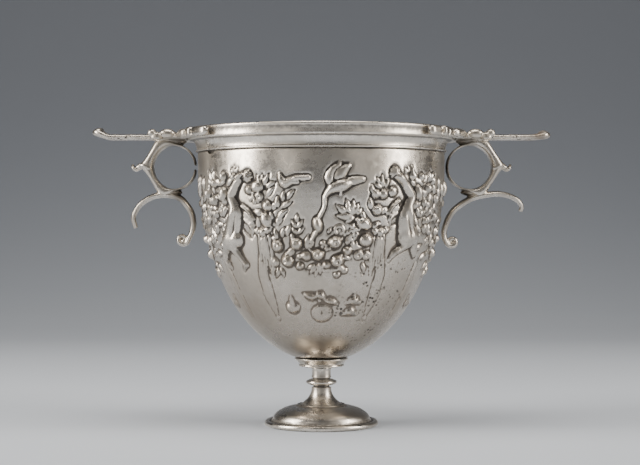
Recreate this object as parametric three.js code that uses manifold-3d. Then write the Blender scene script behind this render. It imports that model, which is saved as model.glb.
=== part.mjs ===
// Silver wine cup on a stemmed foot: a plain liner inside a relief-worked casing, with two cast ring handles.
// Millimetres, +Z up. The origin is the centre of the foot's underside, -Y is the front and the handles lie on X.
import * as THREE from 'three';
import * as BufferGeometryUtils from 'three/addons/utils/BufferGeometryUtils.js';
import Module from 'manifold-3d';

const wasm = await Module();
wasm.setup();

// Clearance between soldered or nested pieces
const jointGap = 0.3;

// Foot, from the ground up
const footRadius = 24.1;
const footBeadHeight = 2.5;
const footBeadInset = 2.0;
const domeFootRadius = 20.3;
const domeTopRadius = 10.2;
const domeHeight = 6.1;
const flareHeight = 7.7;
const stemRadius = 3.9;
const knopRadius = 6.6;
const knopHeight = 2.6;
const knopFillet = 0.6;
const neckHeight = 4.9;
const collarFloor = 1.8;
const collarRadius = 11.7;
const collarFootRadius = 9.3;
const footWall = 1.7;

// Bowl
const bowlRadius = 52;
const bowlDepth = 85;
const bowlFullness = 2.1;
const plainBand = 2.7;
const casingWall = 1.0;
const linerWall = 1.2;

// Rim of the liner
const mouldingHeight = 4.9;
const mouldingFootRadius = 52.7;
const mouldingHeadRadius = 54.3;
const lipHeight = 5.0;
const lipRadius = 56.7;
const lipThickness = 3.4;

// Handles
const plateThickness = 2.2;
const plateReach = 40;
const tongueWidth = 11;
const tipRise = 2.6;
const clasp = 43;
const claspHeight = 3.3;
const claspThickness = 2.6;
const birdHeadRadius = 2.1;
const scrollKnobRadius = 2.2;
const ringBore = 18;
const ringWall = 1.0;
const ringWallGap = 0.5;
const ringBreak = 1.5;
const ringRoot = 2.4;
const ringWidth = 8.5;
const ringOuterReach = 4.0;
const spurLength = 7.5;
const spurThickness = 1.3;
const crescentWidth = 8;
const crescentThickness = 2.0;
const curlRadius = 2.1;

// Relief
const erosHeight = 40;
const fruitRadius = 2.6;
const fruitRelief = 1.9;
const leafLength = 5.6;
const leafWidth = 3.2;
const leafRelief = 1.1;
const drumRadius = 4.2;
const drumRelief = 0.7;

// Heights that follow from the sizes above
const domeTop = footBeadHeight + domeHeight;
const flareTop = domeTop + flareHeight;
const knopFoot = flareTop + knopFillet;
const knopTop = knopFoot + knopHeight;
const neckTop = knopTop + neckHeight;
const collarFoot = neckTop + knopFillet;
const bowlFloor = collarFoot + collarFloor + jointGap;
const shoulder = bowlFloor + bowlDepth;
const casingTop = shoulder + plainBand;
const mouldingFoot = casingTop + jointGap;
const lipFoot = mouldingFoot + mouldingHeight;
const rimTop = lipFoot + lipHeight;

const roundSides = 36;
const outerRows = 8;
const innerRows = 6;
const footSides = 22;

const silver = (shade, roughness) =>
  new THREE.MeshStandardMaterial({ color: new THREE.Color(shade, shade * 0.985, shade * 0.95), metalness: 1, roughness });
const casingSilver = silver(0.56, 0.38);
const linerSilver = silver(0.66, 0.3);
const footSilver = silver(0.6, 0.28);
const handleSilver = silver(0.58, 0.34);

// A closed three.js geometry as a solid, and a solid as a named mesh
function solid(geometry) {
  const bare = geometry.clone();
  bare.deleteAttribute('normal');
  bare.deleteAttribute('uv');
  const merged = BufferGeometryUtils.mergeVertices(bare, 1e-4);
  return new wasm.Manifold(new wasm.Mesh({
    numProp: 3,
    vertProperties: new Float32Array(merged.attributes.position.array),
    triVerts: new Uint32Array(merged.index.array),
  }));
}

function namedMesh(name, shape, material) {
  const { vertProperties, triVerts } = shape.getMesh();
  const geometry = new THREE.BufferGeometry();
  geometry.setAttribute('position', new THREE.BufferAttribute(vertProperties, 3));
  geometry.setIndex(new THREE.BufferAttribute(triVerts, 1));
  geometry.computeVertexNormals();
  const mesh = new THREE.Mesh(geometry, material);
  mesh.name = name;
  return mesh;
}

const joined = (shapes) => shapes.reduce((whole, shape) => whole.add(shape));
const degrees = THREE.MathUtils.degToRad;

// A solid turned about Z from [radius, height] points that run up the outside
function turned(profile, sides) {
  const points = profile.map(([radius, height]) => new THREE.Vector2(radius, height));
  return solid(new THREE.LatheGeometry(points, sides).rotateX(Math.PI / 2));
}

// Points of a bowl curve from its lowest point up to the shoulder; inset moves it inwards
function bowlCurve(inset, rows) {
  return Array.from({ length: rows + 1 }, (_, row) => {
    const share = Math.cos((row / rows) * Math.PI / 2);
    const radius = (bowlRadius - inset) * Math.sqrt(1 - share ** bowlFullness);
    return [row === 0 ? 0 : radius, shoulder - (bowlDepth - inset) * share];
  });
}

// The casing's outside radius and slope at a height
function wallRadius(height) {
  const share = THREE.MathUtils.clamp((shoulder - height) / bowlDepth, 0, 0.995);
  return bowlRadius * Math.sqrt(1 - share ** bowlFullness);
}

// Matrix of a place on the casing: x runs to the right round the wall, y up it and z out of it
function onWall(azimuth, height, turn = 0) {
  const radius = wallRadius(height);
  const slope = (wallRadius(height + 0.5) - wallRadius(height - 0.5));
  const out = new THREE.Vector3(Math.sin(azimuth), -Math.cos(azimuth), 0);
  const right = new THREE.Vector3(Math.cos(azimuth), Math.sin(azimuth), 0);
  const up = new THREE.Vector3(0, 0, 1).addScaledVector(out, slope).normalize();
  const normal = new THREE.Vector3().crossVectors(right, up);
  return new THREE.Matrix4()
    .makeBasis(right, up, normal)
    .setPosition(out.multiplyScalar(radius).setZ(height))
    .multiply(new THREE.Matrix4().makeRotationZ(turn));
}

// Height of a level given in hundredths of the bowl's depth above its lowest point
const levelHeight = (level) => bowlFloor + bowlDepth * level / 100;

// Low rounded boss with half sizes a and b on the wall and its crown at the given relief
function boss(azimuth, level, a, b, relief, turn = 0, sides = 5) {
  const dome = new THREE.SphereGeometry(1, sides, 3).rotateX(Math.PI / 2).scale(a, b, relief);
  return solid(dome.applyMatrix4(onWall(degrees(azimuth), levelHeight(level), degrees(turn))));
}

// Pointed leaf with a raised midrib; its length lies along the turned x
function leaf(azimuth, level, turn, size = 1) {
  const blade = new THREE.OctahedronGeometry(1)
    .scale(leafLength * size / 2, leafWidth * size / 2, leafRelief * Math.sqrt(size));
  return solid(blade.applyMatrix4(onWall(degrees(azimuth), levelHeight(level), degrees(turn))));
}

// Flat disc or band that stands out of the wall by its relief
function plaque(azimuth, level, geometry, relief, turn = 0) {
  const sunk = casingWall / 2;
  const slab = geometry.scale(1, 1, relief + sunk).translate(0, 0, (relief - sunk) / 2);
  return solid(slab.applyMatrix4(onWall(degrees(azimuth), levelHeight(level), degrees(turn))));
}

// A geometry class's cylinder bent along a curve: x of the section lies in the curve's plane, z along side
function swept(curve, sides, steps, side, across, along) {
  const tube = new THREE.CylinderGeometry(1, 1, 1, sides, steps);
  const { position } = tube.attributes;
  const v = new THREE.Vector3();
  for (let i = 0; i < position.count; i += 1) {
    v.fromBufferAttribute(position, i);
    const share = THREE.MathUtils.clamp(v.y + 0.5, 0, 1);
    const point = curve.getPointAt(share);
    const normal = new THREE.Vector3().crossVectors(curve.getTangentAt(share), side).normalize();
    point.addScaledVector(normal, v.x * across(share)).addScaledVector(side, v.z * along(share));
    position.setXYZ(i, point.x, point.y, point.z);
  }
  const shape = solid(tube);
  return shape;
}

// Foot: beaded rim, domed plate, flared stem with a knop, and a collar that seats the bowl
function footSolid() {
  const seat = bowlCurve(-jointGap, 24).filter(([radius]) => radius < collarRadius);
  const seatEdge = seat[seat.length - 1];
  const bulge = (turns) => [
    footRadius - footBeadInset * (1 - Math.cos(turns)),
    footBeadHeight * (0.45 + 0.55 * Math.sin(turns)),
  ];
  const dome = [0, 0.3, 0.6, 1].map((share) => [
    domeTopRadius + (domeFootRadius - domeTopRadius) * Math.cos(share * Math.PI / 2) ** 1.4,
    footBeadHeight + 0.3 + (domeHeight - 0.3) * Math.sin(share * Math.PI / 2) ** 1.3,
  ]);
  const flare = [0.2, 0.55, 1].map((share) => [
    stemRadius + (domeTopRadius - stemRadius) * (1 - share) ** 2.6,
    domeTop + flareHeight * share,
  ]);
  const outline = [
    [0, flareTop],
    [stemRadius, domeTop],
    [domeTopRadius, domeTop - footWall],
    [footRadius - footBeadInset - footWall, 0],
    [footRadius - footBeadInset / 2, 0],
    bulge(-0.2),
    bulge(0.7),
    bulge(Math.PI / 2),
    ...dome,
    ...flare,
    [stemRadius * 1.06, knopFoot],
    [knopRadius * 0.92, knopFoot + knopHeight * 0.2],
    [knopRadius * 0.92, knopTop - knopHeight * 0.2],
    [stemRadius, knopTop],
    [stemRadius * 1.08, neckTop],
    [collarFootRadius, collarFoot],
    [collarFootRadius, collarFoot + collarFloor * 0.4],
    [collarRadius, seatEdge[1] - collarFloor * 0.2],
    ...seat.reverse(),
  ];
  return turned(outline, footSides);
}

// Liner: plain inner bowl whose rim hangs over the casing as a cavetto moulding and a broad lip
function linerSolid() {
  const outer = bowlCurve(casingWall + jointGap, innerRows);
  const inner = bowlCurve(casingWall + jointGap + linerWall, innerRows).reverse();
  const linerRadius = bowlRadius - casingWall - jointGap;
  const cavetto = (share) => [
    mouldingFootRadius + (mouldingHeadRadius - mouldingFootRadius) * share ** 2.2,
    mouldingFoot + mouldingHeight * (0.12 + 0.88 * share),
  ];
  return turned([
    ...outer,
    [linerRadius, mouldingFoot],
    [mouldingFootRadius, mouldingFoot],
    cavetto(0.02),
    cavetto(0.65),
    cavetto(1),
    [lipRadius, lipFoot + lipHeight * 0.15],
    [lipRadius, rimTop - lipHeight * 0.15],
    [lipRadius - 0.6, rimTop],
    [lipRadius - lipThickness, rimTop],
    [lipRadius - lipThickness - 0.8, rimTop - lipHeight * 0.4],
    [linerRadius - linerWall + 0.4, lipFoot - mouldingHeight / 2],
    ...inner,
  ], roundSides);
}

// Places on a figure, in hundredths of its height: x towards the middle of the panel, y up from its waist
const figure = {
  head: [20.8, 48.5],
  hand: [17, 42],
  elbow: [0.5, 29],
  shoulder: [6.5, 15],
  chest: [4.3, 5],
  hip: [-3.5, -14],
  seat: [-14, -13.5],
  wingRoot: [11, 12],
};
const striding = { knee: [-2.5, -26], toe: [3, -45], backKnee: [-20, -25], backToe: [-27, -42] };
const kneeling = { knee: [4, -23], toe: [22, -34], backKnee: [-16, -25], backToe: [-20, -38] };
const waistLevel = 68.2;

// Winged boy who lifts a garland, seen from behind; side is -1 where he faces right, and 1 where he faces left
function eros(azimuth, side, legs) {
  const pose = { ...figure, ...legs };
  const place = ([x, y]) => {
    const height = levelHeight(waistLevel) + erosHeight * y / 100;
    return [azimuth - side * THREE.MathUtils.radToDeg(erosHeight * x / 100 / wallRadius(height)), height];
  };
  const at = (point, lift) => {
    const [turn, height] = place(point);
    return new THREE.Vector3(0, 0, lift).applyMatrix4(onWall(degrees(turn), height));
  };
  const limb = (from, to, startShare, endShare) => {
    const [start, end] = [erosHeight * startShare, erosHeight * endShare];
    const [a, b] = [at(from, start * 0.1), at(to, end * 0.1)];
    const bar = new THREE.CylinderGeometry(end, start, a.distanceTo(b) + (start + end) * 0.6, 4);
    const aim = new THREE.Quaternion().setFromUnitVectors(new THREE.Vector3(0, 1, 0), b.clone().sub(a).normalize());
    return solid(bar.applyMatrix4(new THREE.Matrix4().compose(a.add(b).multiplyScalar(0.5), aim, new THREE.Vector3(1, 1, 1))));
  };
  const mass = (point, a, b, relief, turn, sides = 5) => {
    const [spot, height] = place(point);
    return boss(spot, (height - bowlFloor) / bowlDepth * 100, erosHeight * a, erosHeight * b, erosHeight * relief, turn * side, sides);
  };
  const wing = mass([pose.wingRoot[0] + 5, pose.wingRoot[1] - 11], 0.21, 0.09, 0.045, 62, 5);
  return [
    mass(pose.head, 0.085, 0.095, 0.085, 0),
    limb(pose.hand, pose.elbow, 0.05, 0.06),
    limb(pose.elbow, pose.shoulder, 0.06, 0.065),
    mass(pose.chest, 0.13, 0.23, 0.1, -6, 6),
    mass(pose.seat, 0.15, 0.14, 0.105, 15, 6),
    limb(pose.hip, pose.knee, 0.095, 0.07),
    limb(pose.knee, pose.toe, 0.06, 0.03),
    limb(pose.seat, pose.backKnee, 0.085, 0.06),
    limb(pose.backKnee, pose.backToe, 0.055, 0.03),
    wing,
  ];
}

// Swag that hangs between two azimuths either side of a middle: fruit down its line, with leaves to both sides
function swag(middle, halfSpan, lowLevel, endLevel, fruits, leaves) {
  const place = (share) => [
    middle + halfSpan * Math.sin(share * Math.PI / 2),
    endLevel - (endLevel - lowLevel) * Math.cos(share * Math.PI / 2),
  ];
  const row = (count, make) => Array.from({ length: count }, (_, i) => make(2 * i / (count - 1) - 1, i));
  const fruit = row(fruits, (share, i) => {
    const size = fruitRadius * (i % 2 ? 0.95 : 1.2);
    return boss(...place(share), size, size, fruitRelief * (i % 2 ? 0.85 : 1.1), 36 * i);
  });
  const foliage = row(leaves, (share, i) => {
    const [azimuth, level] = place(share * 0.92);
    const side = i % 2 ? 1 : -1;
    const across = 90 * (1 + share);
    const [right, up] = [Math.cos(degrees(across)), Math.sin(degrees(across))];
    return leaf(azimuth + side * right * 4.5, level + side * up * 4.6, across + 25, 1.15);
  });
  return [...fruit, ...foliage];
}

// Long-necked bird with raised wings that pecks at the garland
function bird(azimuth) {
  return [
    boss(azimuth + 9.5, 86, fruitRadius * 2.2, fruitRadius * 0.7, leafRelief, 22),
    boss(azimuth + 4.6, 90, fruitRadius * 1.8, fruitRadius * 0.6, leafRelief * 0.8, 100, 5),
    boss(azimuth + 9, 91, fruitRadius * 1.7, fruitRadius * 0.7, leafRelief * 0.9, 65, 5),
    boss(azimuth + 3, 81.5, fruitRadius * 1.5, fruitRadius * 0.34, leafRelief * 0.7, 62, 5),
    boss(azimuth - 0.5, 74.5, fruitRadius * 1.5, fruitRadius * 0.34, leafRelief * 0.7, 78, 5),
    boss(azimuth - 1.8, 66.5, fruitRadius * 0.75, fruitRadius * 1.7, fruitRelief * 0.8, -10),
  ];
}

// Drum, cymbals, flask and pipes in low relief
function instruments(azimuth) {
  const drum = new THREE.CylinderGeometry(drumRadius, drumRadius, 1, 9).rotateX(Math.PI / 2);
  const pipe = new THREE.BoxGeometry(drumRadius * 3, drumRadius * 0.45, 1);
  return [
    plaque(azimuth + 0.3, 26.7, drum, drumRelief),
    boss(azimuth - 17.3, 31, drumRadius * 0.62, drumRadius * 0.75, drumRelief * 1.6),
    boss(azimuth + 18.5, 29, drumRadius * 0.8, drumRadius * 0.9, drumRelief * 1.6),
    plaque(azimuth - 12, 88, pipe, drumRelief, 5),
  ];
}

// Casing: the wall with all its relief, hollowed for the liner
function casingSolid() {
  const wall = turned([...bowlCurve(0, outerRows), [bowlRadius, casingTop], [0, casingTop]], roundSides);
  const hollow = turned([
    ...bowlCurve(casingWall, innerRows),
    [bowlRadius - casingWall, casingTop + casingWall],
    [0, casingTop + casingWall],
  ], roundSides);
  const relief = [...bird(0), ...instruments(0)];
  for (const [middle, leaves] of [[0, 8], [180, 4]]) {
    relief.push(...eros(middle - 45, -1, striding), ...eros(middle + 45, 1, kneeling));
    relief.push(...swag(middle, 26, 54, 89, 11, leaves));
  }
  for (const middle of [90, 270]) {
    relief.push(...swag(middle, 36, 54, 86, 9, 4));
  }
  return joined([wall, ...relief]).subtract(hollow);
}

// Handle: thumb plate that clasps the rim, finger ring with a spur, and a crescent finger rest that ends in a curl.
// It is built on +X; crescent points are in hundredths of the ring bore, from the ring's centre.
const openCrescent = [
  [123, -100], [107, -82], [83, -68], [53, -63], [13, -68], [-18, -80], [-41, -100], [-58, -124], [-63, -150], [-58, -172],
];
const bentCrescent = [
  [97, -140], [97, -112], [86, -89], [64, -73], [34, -66], [-1, -68], [-29, -84], [-46, -107], [-52, -133], [-48, -156],
];

function handleSolid(crescentPoints, broken) {
  const claspRadius = lipRadius + jointGap;
  const plateFoot = lipFoot + jointGap;
  const plateTop = plateFoot + plateThickness;
  const reach = lipRadius + plateReach;
  const ringRadius = ringBore / 2;
  const ringX = bowlRadius + ringWallGap + ringWall + ringRadius;
  const ringZ = plateFoot - ringRoot - ringRadius;
  const upright = (geometry) => geometry.rotateX(Math.PI / 2);

  // Plate in plan: a tongue that widens at two side scrolls and opens into the clasp
  const half = tongueWidth / 2;
  const armAngle = degrees(clasp);
  const neckX = claspRadius + plateReach * 0.26;
  const plan = new THREE.Shape();
  plan.moveTo(reach - half, -half);
  plan.absarc(reach - half, 0, half, -Math.PI / 2, Math.PI / 2, false);
  plan.quadraticCurveTo(reach - plateReach * 0.45, half * 0.75, neckX + half * 0.6, half * 1.35);
  plan.lineTo(neckX - half * 0.2, half * 1.5);
  plan.quadraticCurveTo(claspRadius + claspThickness * 1.4, half * 2, (claspRadius + claspThickness) * Math.cos(armAngle * 0.6),
    (claspRadius + claspThickness) * Math.sin(armAngle * 0.6));
  plan.absarc(0, 0, claspRadius, armAngle * 0.6, -armAngle * 0.6, true);
  plan.lineTo((claspRadius + claspThickness) * Math.cos(armAngle * 0.6), -(claspRadius + claspThickness) * Math.sin(armAngle * 0.6));
  plan.quadraticCurveTo(claspRadius + claspThickness * 1.4, -half * 2, neckX - half * 0.2, -half * 1.5);
  plan.lineTo(neckX + half * 0.6, -half * 1.35);
  plan.quadraticCurveTo(reach - plateReach * 0.45, -half * 0.75, reach - half, -half);
  const plate = solid(new THREE.ExtrudeGeometry(plan, { depth: plateThickness, bevelEnabled: false, curveSegments: 4 })
    .translate(0, 0, plateFoot));

  // Raised clasp on each side: a neck, a bird's head and its flat bill along the lip
  const clasped = [-1, 1].flatMap((side) => {
    const sector = (from, to, height, foot) => {
      const shape = new THREE.Shape();
      const start = side > 0 ? from : -to;
      const end = side > 0 ? to : -from;
      shape.absarc(0, 0, claspRadius + claspThickness, degrees(start), degrees(end), false);
      shape.absarc(0, 0, claspRadius, degrees(end), degrees(start), true);
      return solid(new THREE.ExtrudeGeometry(shape, { depth: height, bevelEnabled: false, curveSegments: 2 })
        .translate(0, 0, foot));
    };
    const knob = (radius, distance, angle, height) => solid(
      new THREE.SphereGeometry(radius, 6, 3).rotateX(Math.PI / 2)
        .translate(distance * Math.cos(degrees(angle)), side * distance * Math.sin(degrees(angle)), height),
    );
    const headAngle = clasp * 0.76;
    const midBand = claspRadius + birdHeadRadius;
    return [
      sector(clasp * 0.2, clasp * 0.86, claspHeight * 0.8, plateFoot),
      sector(clasp * 0.85, clasp, claspHeight, plateFoot + 0.6),
      knob(birdHeadRadius, midBand, headAngle, plateTop),
      knob(scrollKnobRadius * 1.15, claspRadius + claspThickness, clasp * 0.6, plateTop),
      knob(scrollKnobRadius * 0.9, neckX, 7.4, plateTop),
    ];
  });

  // Upturned scroll at the end of the tongue
  const tipCurve = new THREE.CatmullRomCurve3([
    new THREE.Vector3(reach - half * 1.4, 0, plateFoot + plateThickness * 0.5),
    new THREE.Vector3(reach - half * 0.6, 0, plateFoot + plateThickness * 0.7),
    new THREE.Vector3(reach - plateThickness * 0.6, 0, plateTop + tipRise * 0.6),
    new THREE.Vector3(reach - plateThickness * 0.7, 0, plateTop + tipRise * 0.75),
  ]);
  const sideways = new THREE.Vector3(0, 1, 0);
  const tip = swept(tipCurve, 6, 3, sideways, () => plateThickness * 0.45, (share) => half * (1 - 0.3 * share));

  // Finger ring: round bore in a band that thickens away from the bowl to an angle under the spur
  const wallSide = ringRadius + ringWall;
  const outerX = ringX + ringRadius + ringOuterReach;
  const band = new THREE.Shape();
  band.moveTo(ringX + ringRadius * 0.72, plateFoot + 0.2);
  band.lineTo(ringX - ringRadius * 0.45, plateFoot + 0.2);
  band.absarc(ringX, ringZ, wallSide, Math.PI * 0.68, Math.PI * 1.32, false);
  band.lineTo(ringX + ringRadius * 0.75, ringZ - wallSide * 1.14);
  band.quadraticCurveTo(outerX - ringOuterReach * 0.2, ringZ - ringRadius * 0.6, outerX, ringZ - spurThickness);
  band.lineTo(outerX, ringZ + spurThickness);
  band.quadraticCurveTo(outerX - ringOuterReach * 0.2, ringZ + ringRadius * 0.7, ringX + ringRadius * 0.72, plateFoot + 0.2);
  const bore = new THREE.Path();
  bore.absarc(ringX, ringZ, ringRadius, 0, Math.PI * 2, true);
  band.holes.push(bore);
  let ring = solid(upright(new THREE.ExtrudeGeometry(band, { depth: ringWidth, bevelEnabled: false, curveSegments: 7 }))
    .translate(0, ringWidth / 2, 0));
  if (broken) {
    const gap = new THREE.BoxGeometry(ringWall * 3, ringWidth * 1.2, ringBreak);
    ring = ring.subtract(solid(gap.translate(ringX - ringRadius - ringWall / 2, 0, ringZ)));
  }

  // Leaf-shaped spur that dips and turns up at its end
  const spurCurve = new THREE.CatmullRomCurve3([
    new THREE.Vector3(outerX - ringOuterReach * 0.7, 0, ringZ + spurThickness * 0.2),
    new THREE.Vector3(outerX + spurLength * 0.15, 0, ringZ + spurThickness * 0.9),
    new THREE.Vector3(outerX + spurLength * 0.55, 0, ringZ - spurThickness * 0.5),
    new THREE.Vector3(outerX + spurLength * 0.9, 0, ringZ),
    new THREE.Vector3(outerX + spurLength, 0, ringZ + spurThickness * 1.3),
  ]);
  const spur = swept(spurCurve, 6, 5, sideways, () => spurThickness / 2,
    (share) => ringWidth / 2 * (0.95 - 0.6 * share));

  // Crescent finger rest with its inner end rolled into a curl
  const hundredth = ringBore / 100;
  const route = crescentPoints.map(([x, z]) => new THREE.Vector3(ringX + x * hundredth, 0, ringZ + z * hundredth));
  const end = route[route.length - 1];
  const curlCentre = new THREE.Vector3(end.x + curlRadius * 1.35, 0, end.z - curlRadius * 0.45);
  for (let quarter = 1; quarter <= 5; quarter += 1) {
    const turn = degrees(160 + quarter * 68);
    const radius = curlRadius * (1.25 - quarter * 0.13);
    route.push(new THREE.Vector3(curlCentre.x + radius * Math.cos(turn), 0, curlCentre.z + radius * Math.sin(turn)));
  }
  const taper = (share) => Math.sin(Math.PI * THREE.MathUtils.clamp(share * 1.05 + 0.12, 0, 0.9)) ** 0.6;
  const crescent = swept(new THREE.CatmullRomCurve3(route), 6, 18, sideways,
    (share) => crescentThickness / 2 * (0.55 + 0.45 * taper(share)), (share) => crescentWidth / 2 * (0.3 + 0.7 * taper(share)));

  return joined([plate, ...clasped, tip, ring, spur, crescent]);
}

const cup = new THREE.Group();
cup.add(namedMesh('foot', footSolid(), footSilver));
cup.add(namedMesh('relief_casing', casingSolid(), casingSilver));
cup.add(namedMesh('liner', linerSolid(), linerSilver));
cup.add(namedMesh('handle_right', handleSolid(openCrescent, false), handleSilver));
cup.add(namedMesh('handle_left', handleSolid(bentCrescent, true).rotate([0, 0, 180]), handleSilver));

export default cup;
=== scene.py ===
"""Dresses a silver wine cup: a relief-worked casing, a plain liner, a turned foot and two ring handles."""
import math

import bpy
import numpy as np
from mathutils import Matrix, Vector


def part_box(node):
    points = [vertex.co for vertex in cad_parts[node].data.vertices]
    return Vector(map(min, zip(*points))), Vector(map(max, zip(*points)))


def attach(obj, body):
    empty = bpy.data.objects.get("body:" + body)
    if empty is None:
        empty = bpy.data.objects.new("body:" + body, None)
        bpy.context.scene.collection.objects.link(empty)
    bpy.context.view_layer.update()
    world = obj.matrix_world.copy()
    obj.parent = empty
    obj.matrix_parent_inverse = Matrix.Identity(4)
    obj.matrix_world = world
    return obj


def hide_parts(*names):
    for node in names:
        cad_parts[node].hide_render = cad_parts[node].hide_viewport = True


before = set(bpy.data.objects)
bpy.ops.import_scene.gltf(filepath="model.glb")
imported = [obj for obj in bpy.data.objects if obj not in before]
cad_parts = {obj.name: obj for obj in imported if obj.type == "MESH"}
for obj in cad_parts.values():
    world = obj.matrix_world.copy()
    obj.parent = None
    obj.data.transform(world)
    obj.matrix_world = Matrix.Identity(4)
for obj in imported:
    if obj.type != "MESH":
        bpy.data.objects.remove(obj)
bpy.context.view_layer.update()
MM = 0.001

# Bowl and rim, in millimetres
BOWL_RADIUS = 52.0
BOWL_DEPTH = 85.0
BOWL_FULLNESS = 2.1
CASING_WALL = 1.0
JOINT_GAP = 0.3
LINER_WALL = 1.2
BOWL_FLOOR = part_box("relief_casing")[0][2] / MM
CASING_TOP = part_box("relief_casing")[1][2] / MM
SHOULDER = BOWL_FLOOR + BOWL_DEPTH
RIM_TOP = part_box("liner")[1][2] / MM
LIP_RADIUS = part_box("liner")[1][1] / MM
LIP_HEIGHT = 5.0
LIP_THICKNESS = 3.4
LIP_FOOT = RIM_TOP - LIP_HEIGHT
MOULDING_FOOT_RADIUS = 52.7
MOULDING_HEAD_RADIUS = 54.3

# Grid of the casing, in millimetres; the columns divide by eight
CASING_COLUMNS = 664
PLAIN_FOOT = 44.0
FRIEZE_FOOT = 62.0
FRIEZE_HEAD = 108.2
BOTTOM_STEP = 1.7
PLAIN_STEP = 0.6
FRIEZE_STEP = 0.41

# Foot, in millimetres
FOOT_RADIUS = 24.0
DOME_TOP = 8.6
FLARE_HEIGHT = 7.7
NECK_HEIGHT = 4.8
STEM_RADIUS = 4.1
KNOP_RADIUS = 6.5
KNOP_HEIGHT = 2.6
COLLAR_RADIUS = 11.6
COLLAR_FOOT_RADIUS = 9.3

# Handles, in millimetres
PLATE_THICKNESS = 2.2
PLATE_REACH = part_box("handle_right")[1][0] / MM
PLATE_FOOT = LIP_FOOT + JOINT_GAP
TONGUE_WIDTH = 11.0
PLATE_FLARE = 8.5
PLATE_FLARE_REACH = 5.2
CLASP_RADIUS = LIP_RADIUS + JOINT_GAP
RING_BORE = 18.0
RING_WALL = 1.0
RING_WIDTH = 8.5
RING_UPPER_FACE = 12.65
RING_LOWER_FACE = 11.6
RING_FACE_TURN = 33
RING_X = BOWL_RADIUS + 0.5 + RING_WALL + RING_BORE / 2
RING_Z = PLATE_FOOT - 2.4 - RING_BORE / 2
CRESCENT_WIDTH = 8.0
CRESCENT_THICKNESS = 2.5
CAST_VOXEL = 0.3

# Camera, from the photograph's perspective
CAMERA_DISTANCE = 0.6597
CAMERA_HEIGHT = 0.0842
CAMERA_PITCH = math.radians(0.24)
CAMERA_LENS = 87.75
CAMERA_SIDE = -0.0006
# Floor colours: a painted pool of light near the cup, painted shade far from it
FLOOR_LIT_NEAR = (0.595, 0.645, 0.72, 1)
FLOOR_SHADED_FAR = (0.16, 0.178, 0.21, 1)
LAMP_TINT = (1.0, 0.94, 0.86)
LAMP_TARGET = (0, 0, 0.08)
ROOM_COLOUR = (0.5, 0.51, 0.53, 1)
ROOM_STRENGTH = 0.2

# Soft boxes: place and size in metres, and watts
SOFTBOXES = {
    "left_box": ((-0.95, -0.22, 0.42), (0.45, 0.9), 15.5),
    "right_box": ((0.95, -0.28, 0.42), (0.4, 0.9), 11.5),
    "top_box": ((0, -0.15, 1.0), (0.7, 0.5), 6),
    "front_box": ((0, -1.7, 0.55), (1.3, 0.7), 0.5),
    "left_strip": ((-0.74, -1.25, 0.4), (0.26, 0.8), 1.1),
    "right_strip": ((0.8, -1.25, 0.4), (0.26, 0.8), 0.7),
}


def meridian():
    """Radius, height and length of the casing's outer curve from its lowest point to its edge.

    With share = cos(angle), radius = BOWL_RADIUS * sqrt(1 - share ** BOWL_FULLNESS) and
    height = SHOULDER - BOWL_DEPTH * share; above the shoulder the wall is upright.
    """
    share = np.cos(np.linspace(0, math.pi / 2, 1600))
    radius = BOWL_RADIUS * np.sqrt(np.maximum(0, 1 - share ** BOWL_FULLNESS))
    height = SHOULDER - BOWL_DEPTH * share
    radius = np.append(radius, BOWL_RADIUS)
    height = np.append(height, CASING_TOP)
    length = np.concatenate([[0], np.cumsum(np.hypot(np.diff(radius), np.diff(height)))])
    return radius, height, length


CURVE_R, CURVE_Z, CURVE_S = meridian()


def length_at(height):
    """Length of the curve up to a height"""
    return np.interp(height, CURVE_Z, CURVE_S)


def radius_at(height):
    """Radius of the casing at a height"""
    return np.interp(length_at(height), CURVE_S, CURVE_R)


def smooth(low, high, value):
    """Share of the way from low to high, eased at both ends: 3 t^2 - 2 t^3"""
    t = np.clip((value - low) / (high - low), 0, 1)
    return t * t * (3 - 2 * t)


def crown(edge, width, height):
    """height * (1 - (1 - t)^2)^0.5, where t is the way in from the edge as a share of width"""
    t = np.clip(-edge / width, 0, 1)
    return height * (1 - (1 - t) ** 2) ** 0.5


def turned_axes(x, y, degrees):
    c, s = math.cos(math.radians(degrees)), math.sin(math.radians(degrees))
    return c * x + s * y, c * y - s * x


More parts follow.
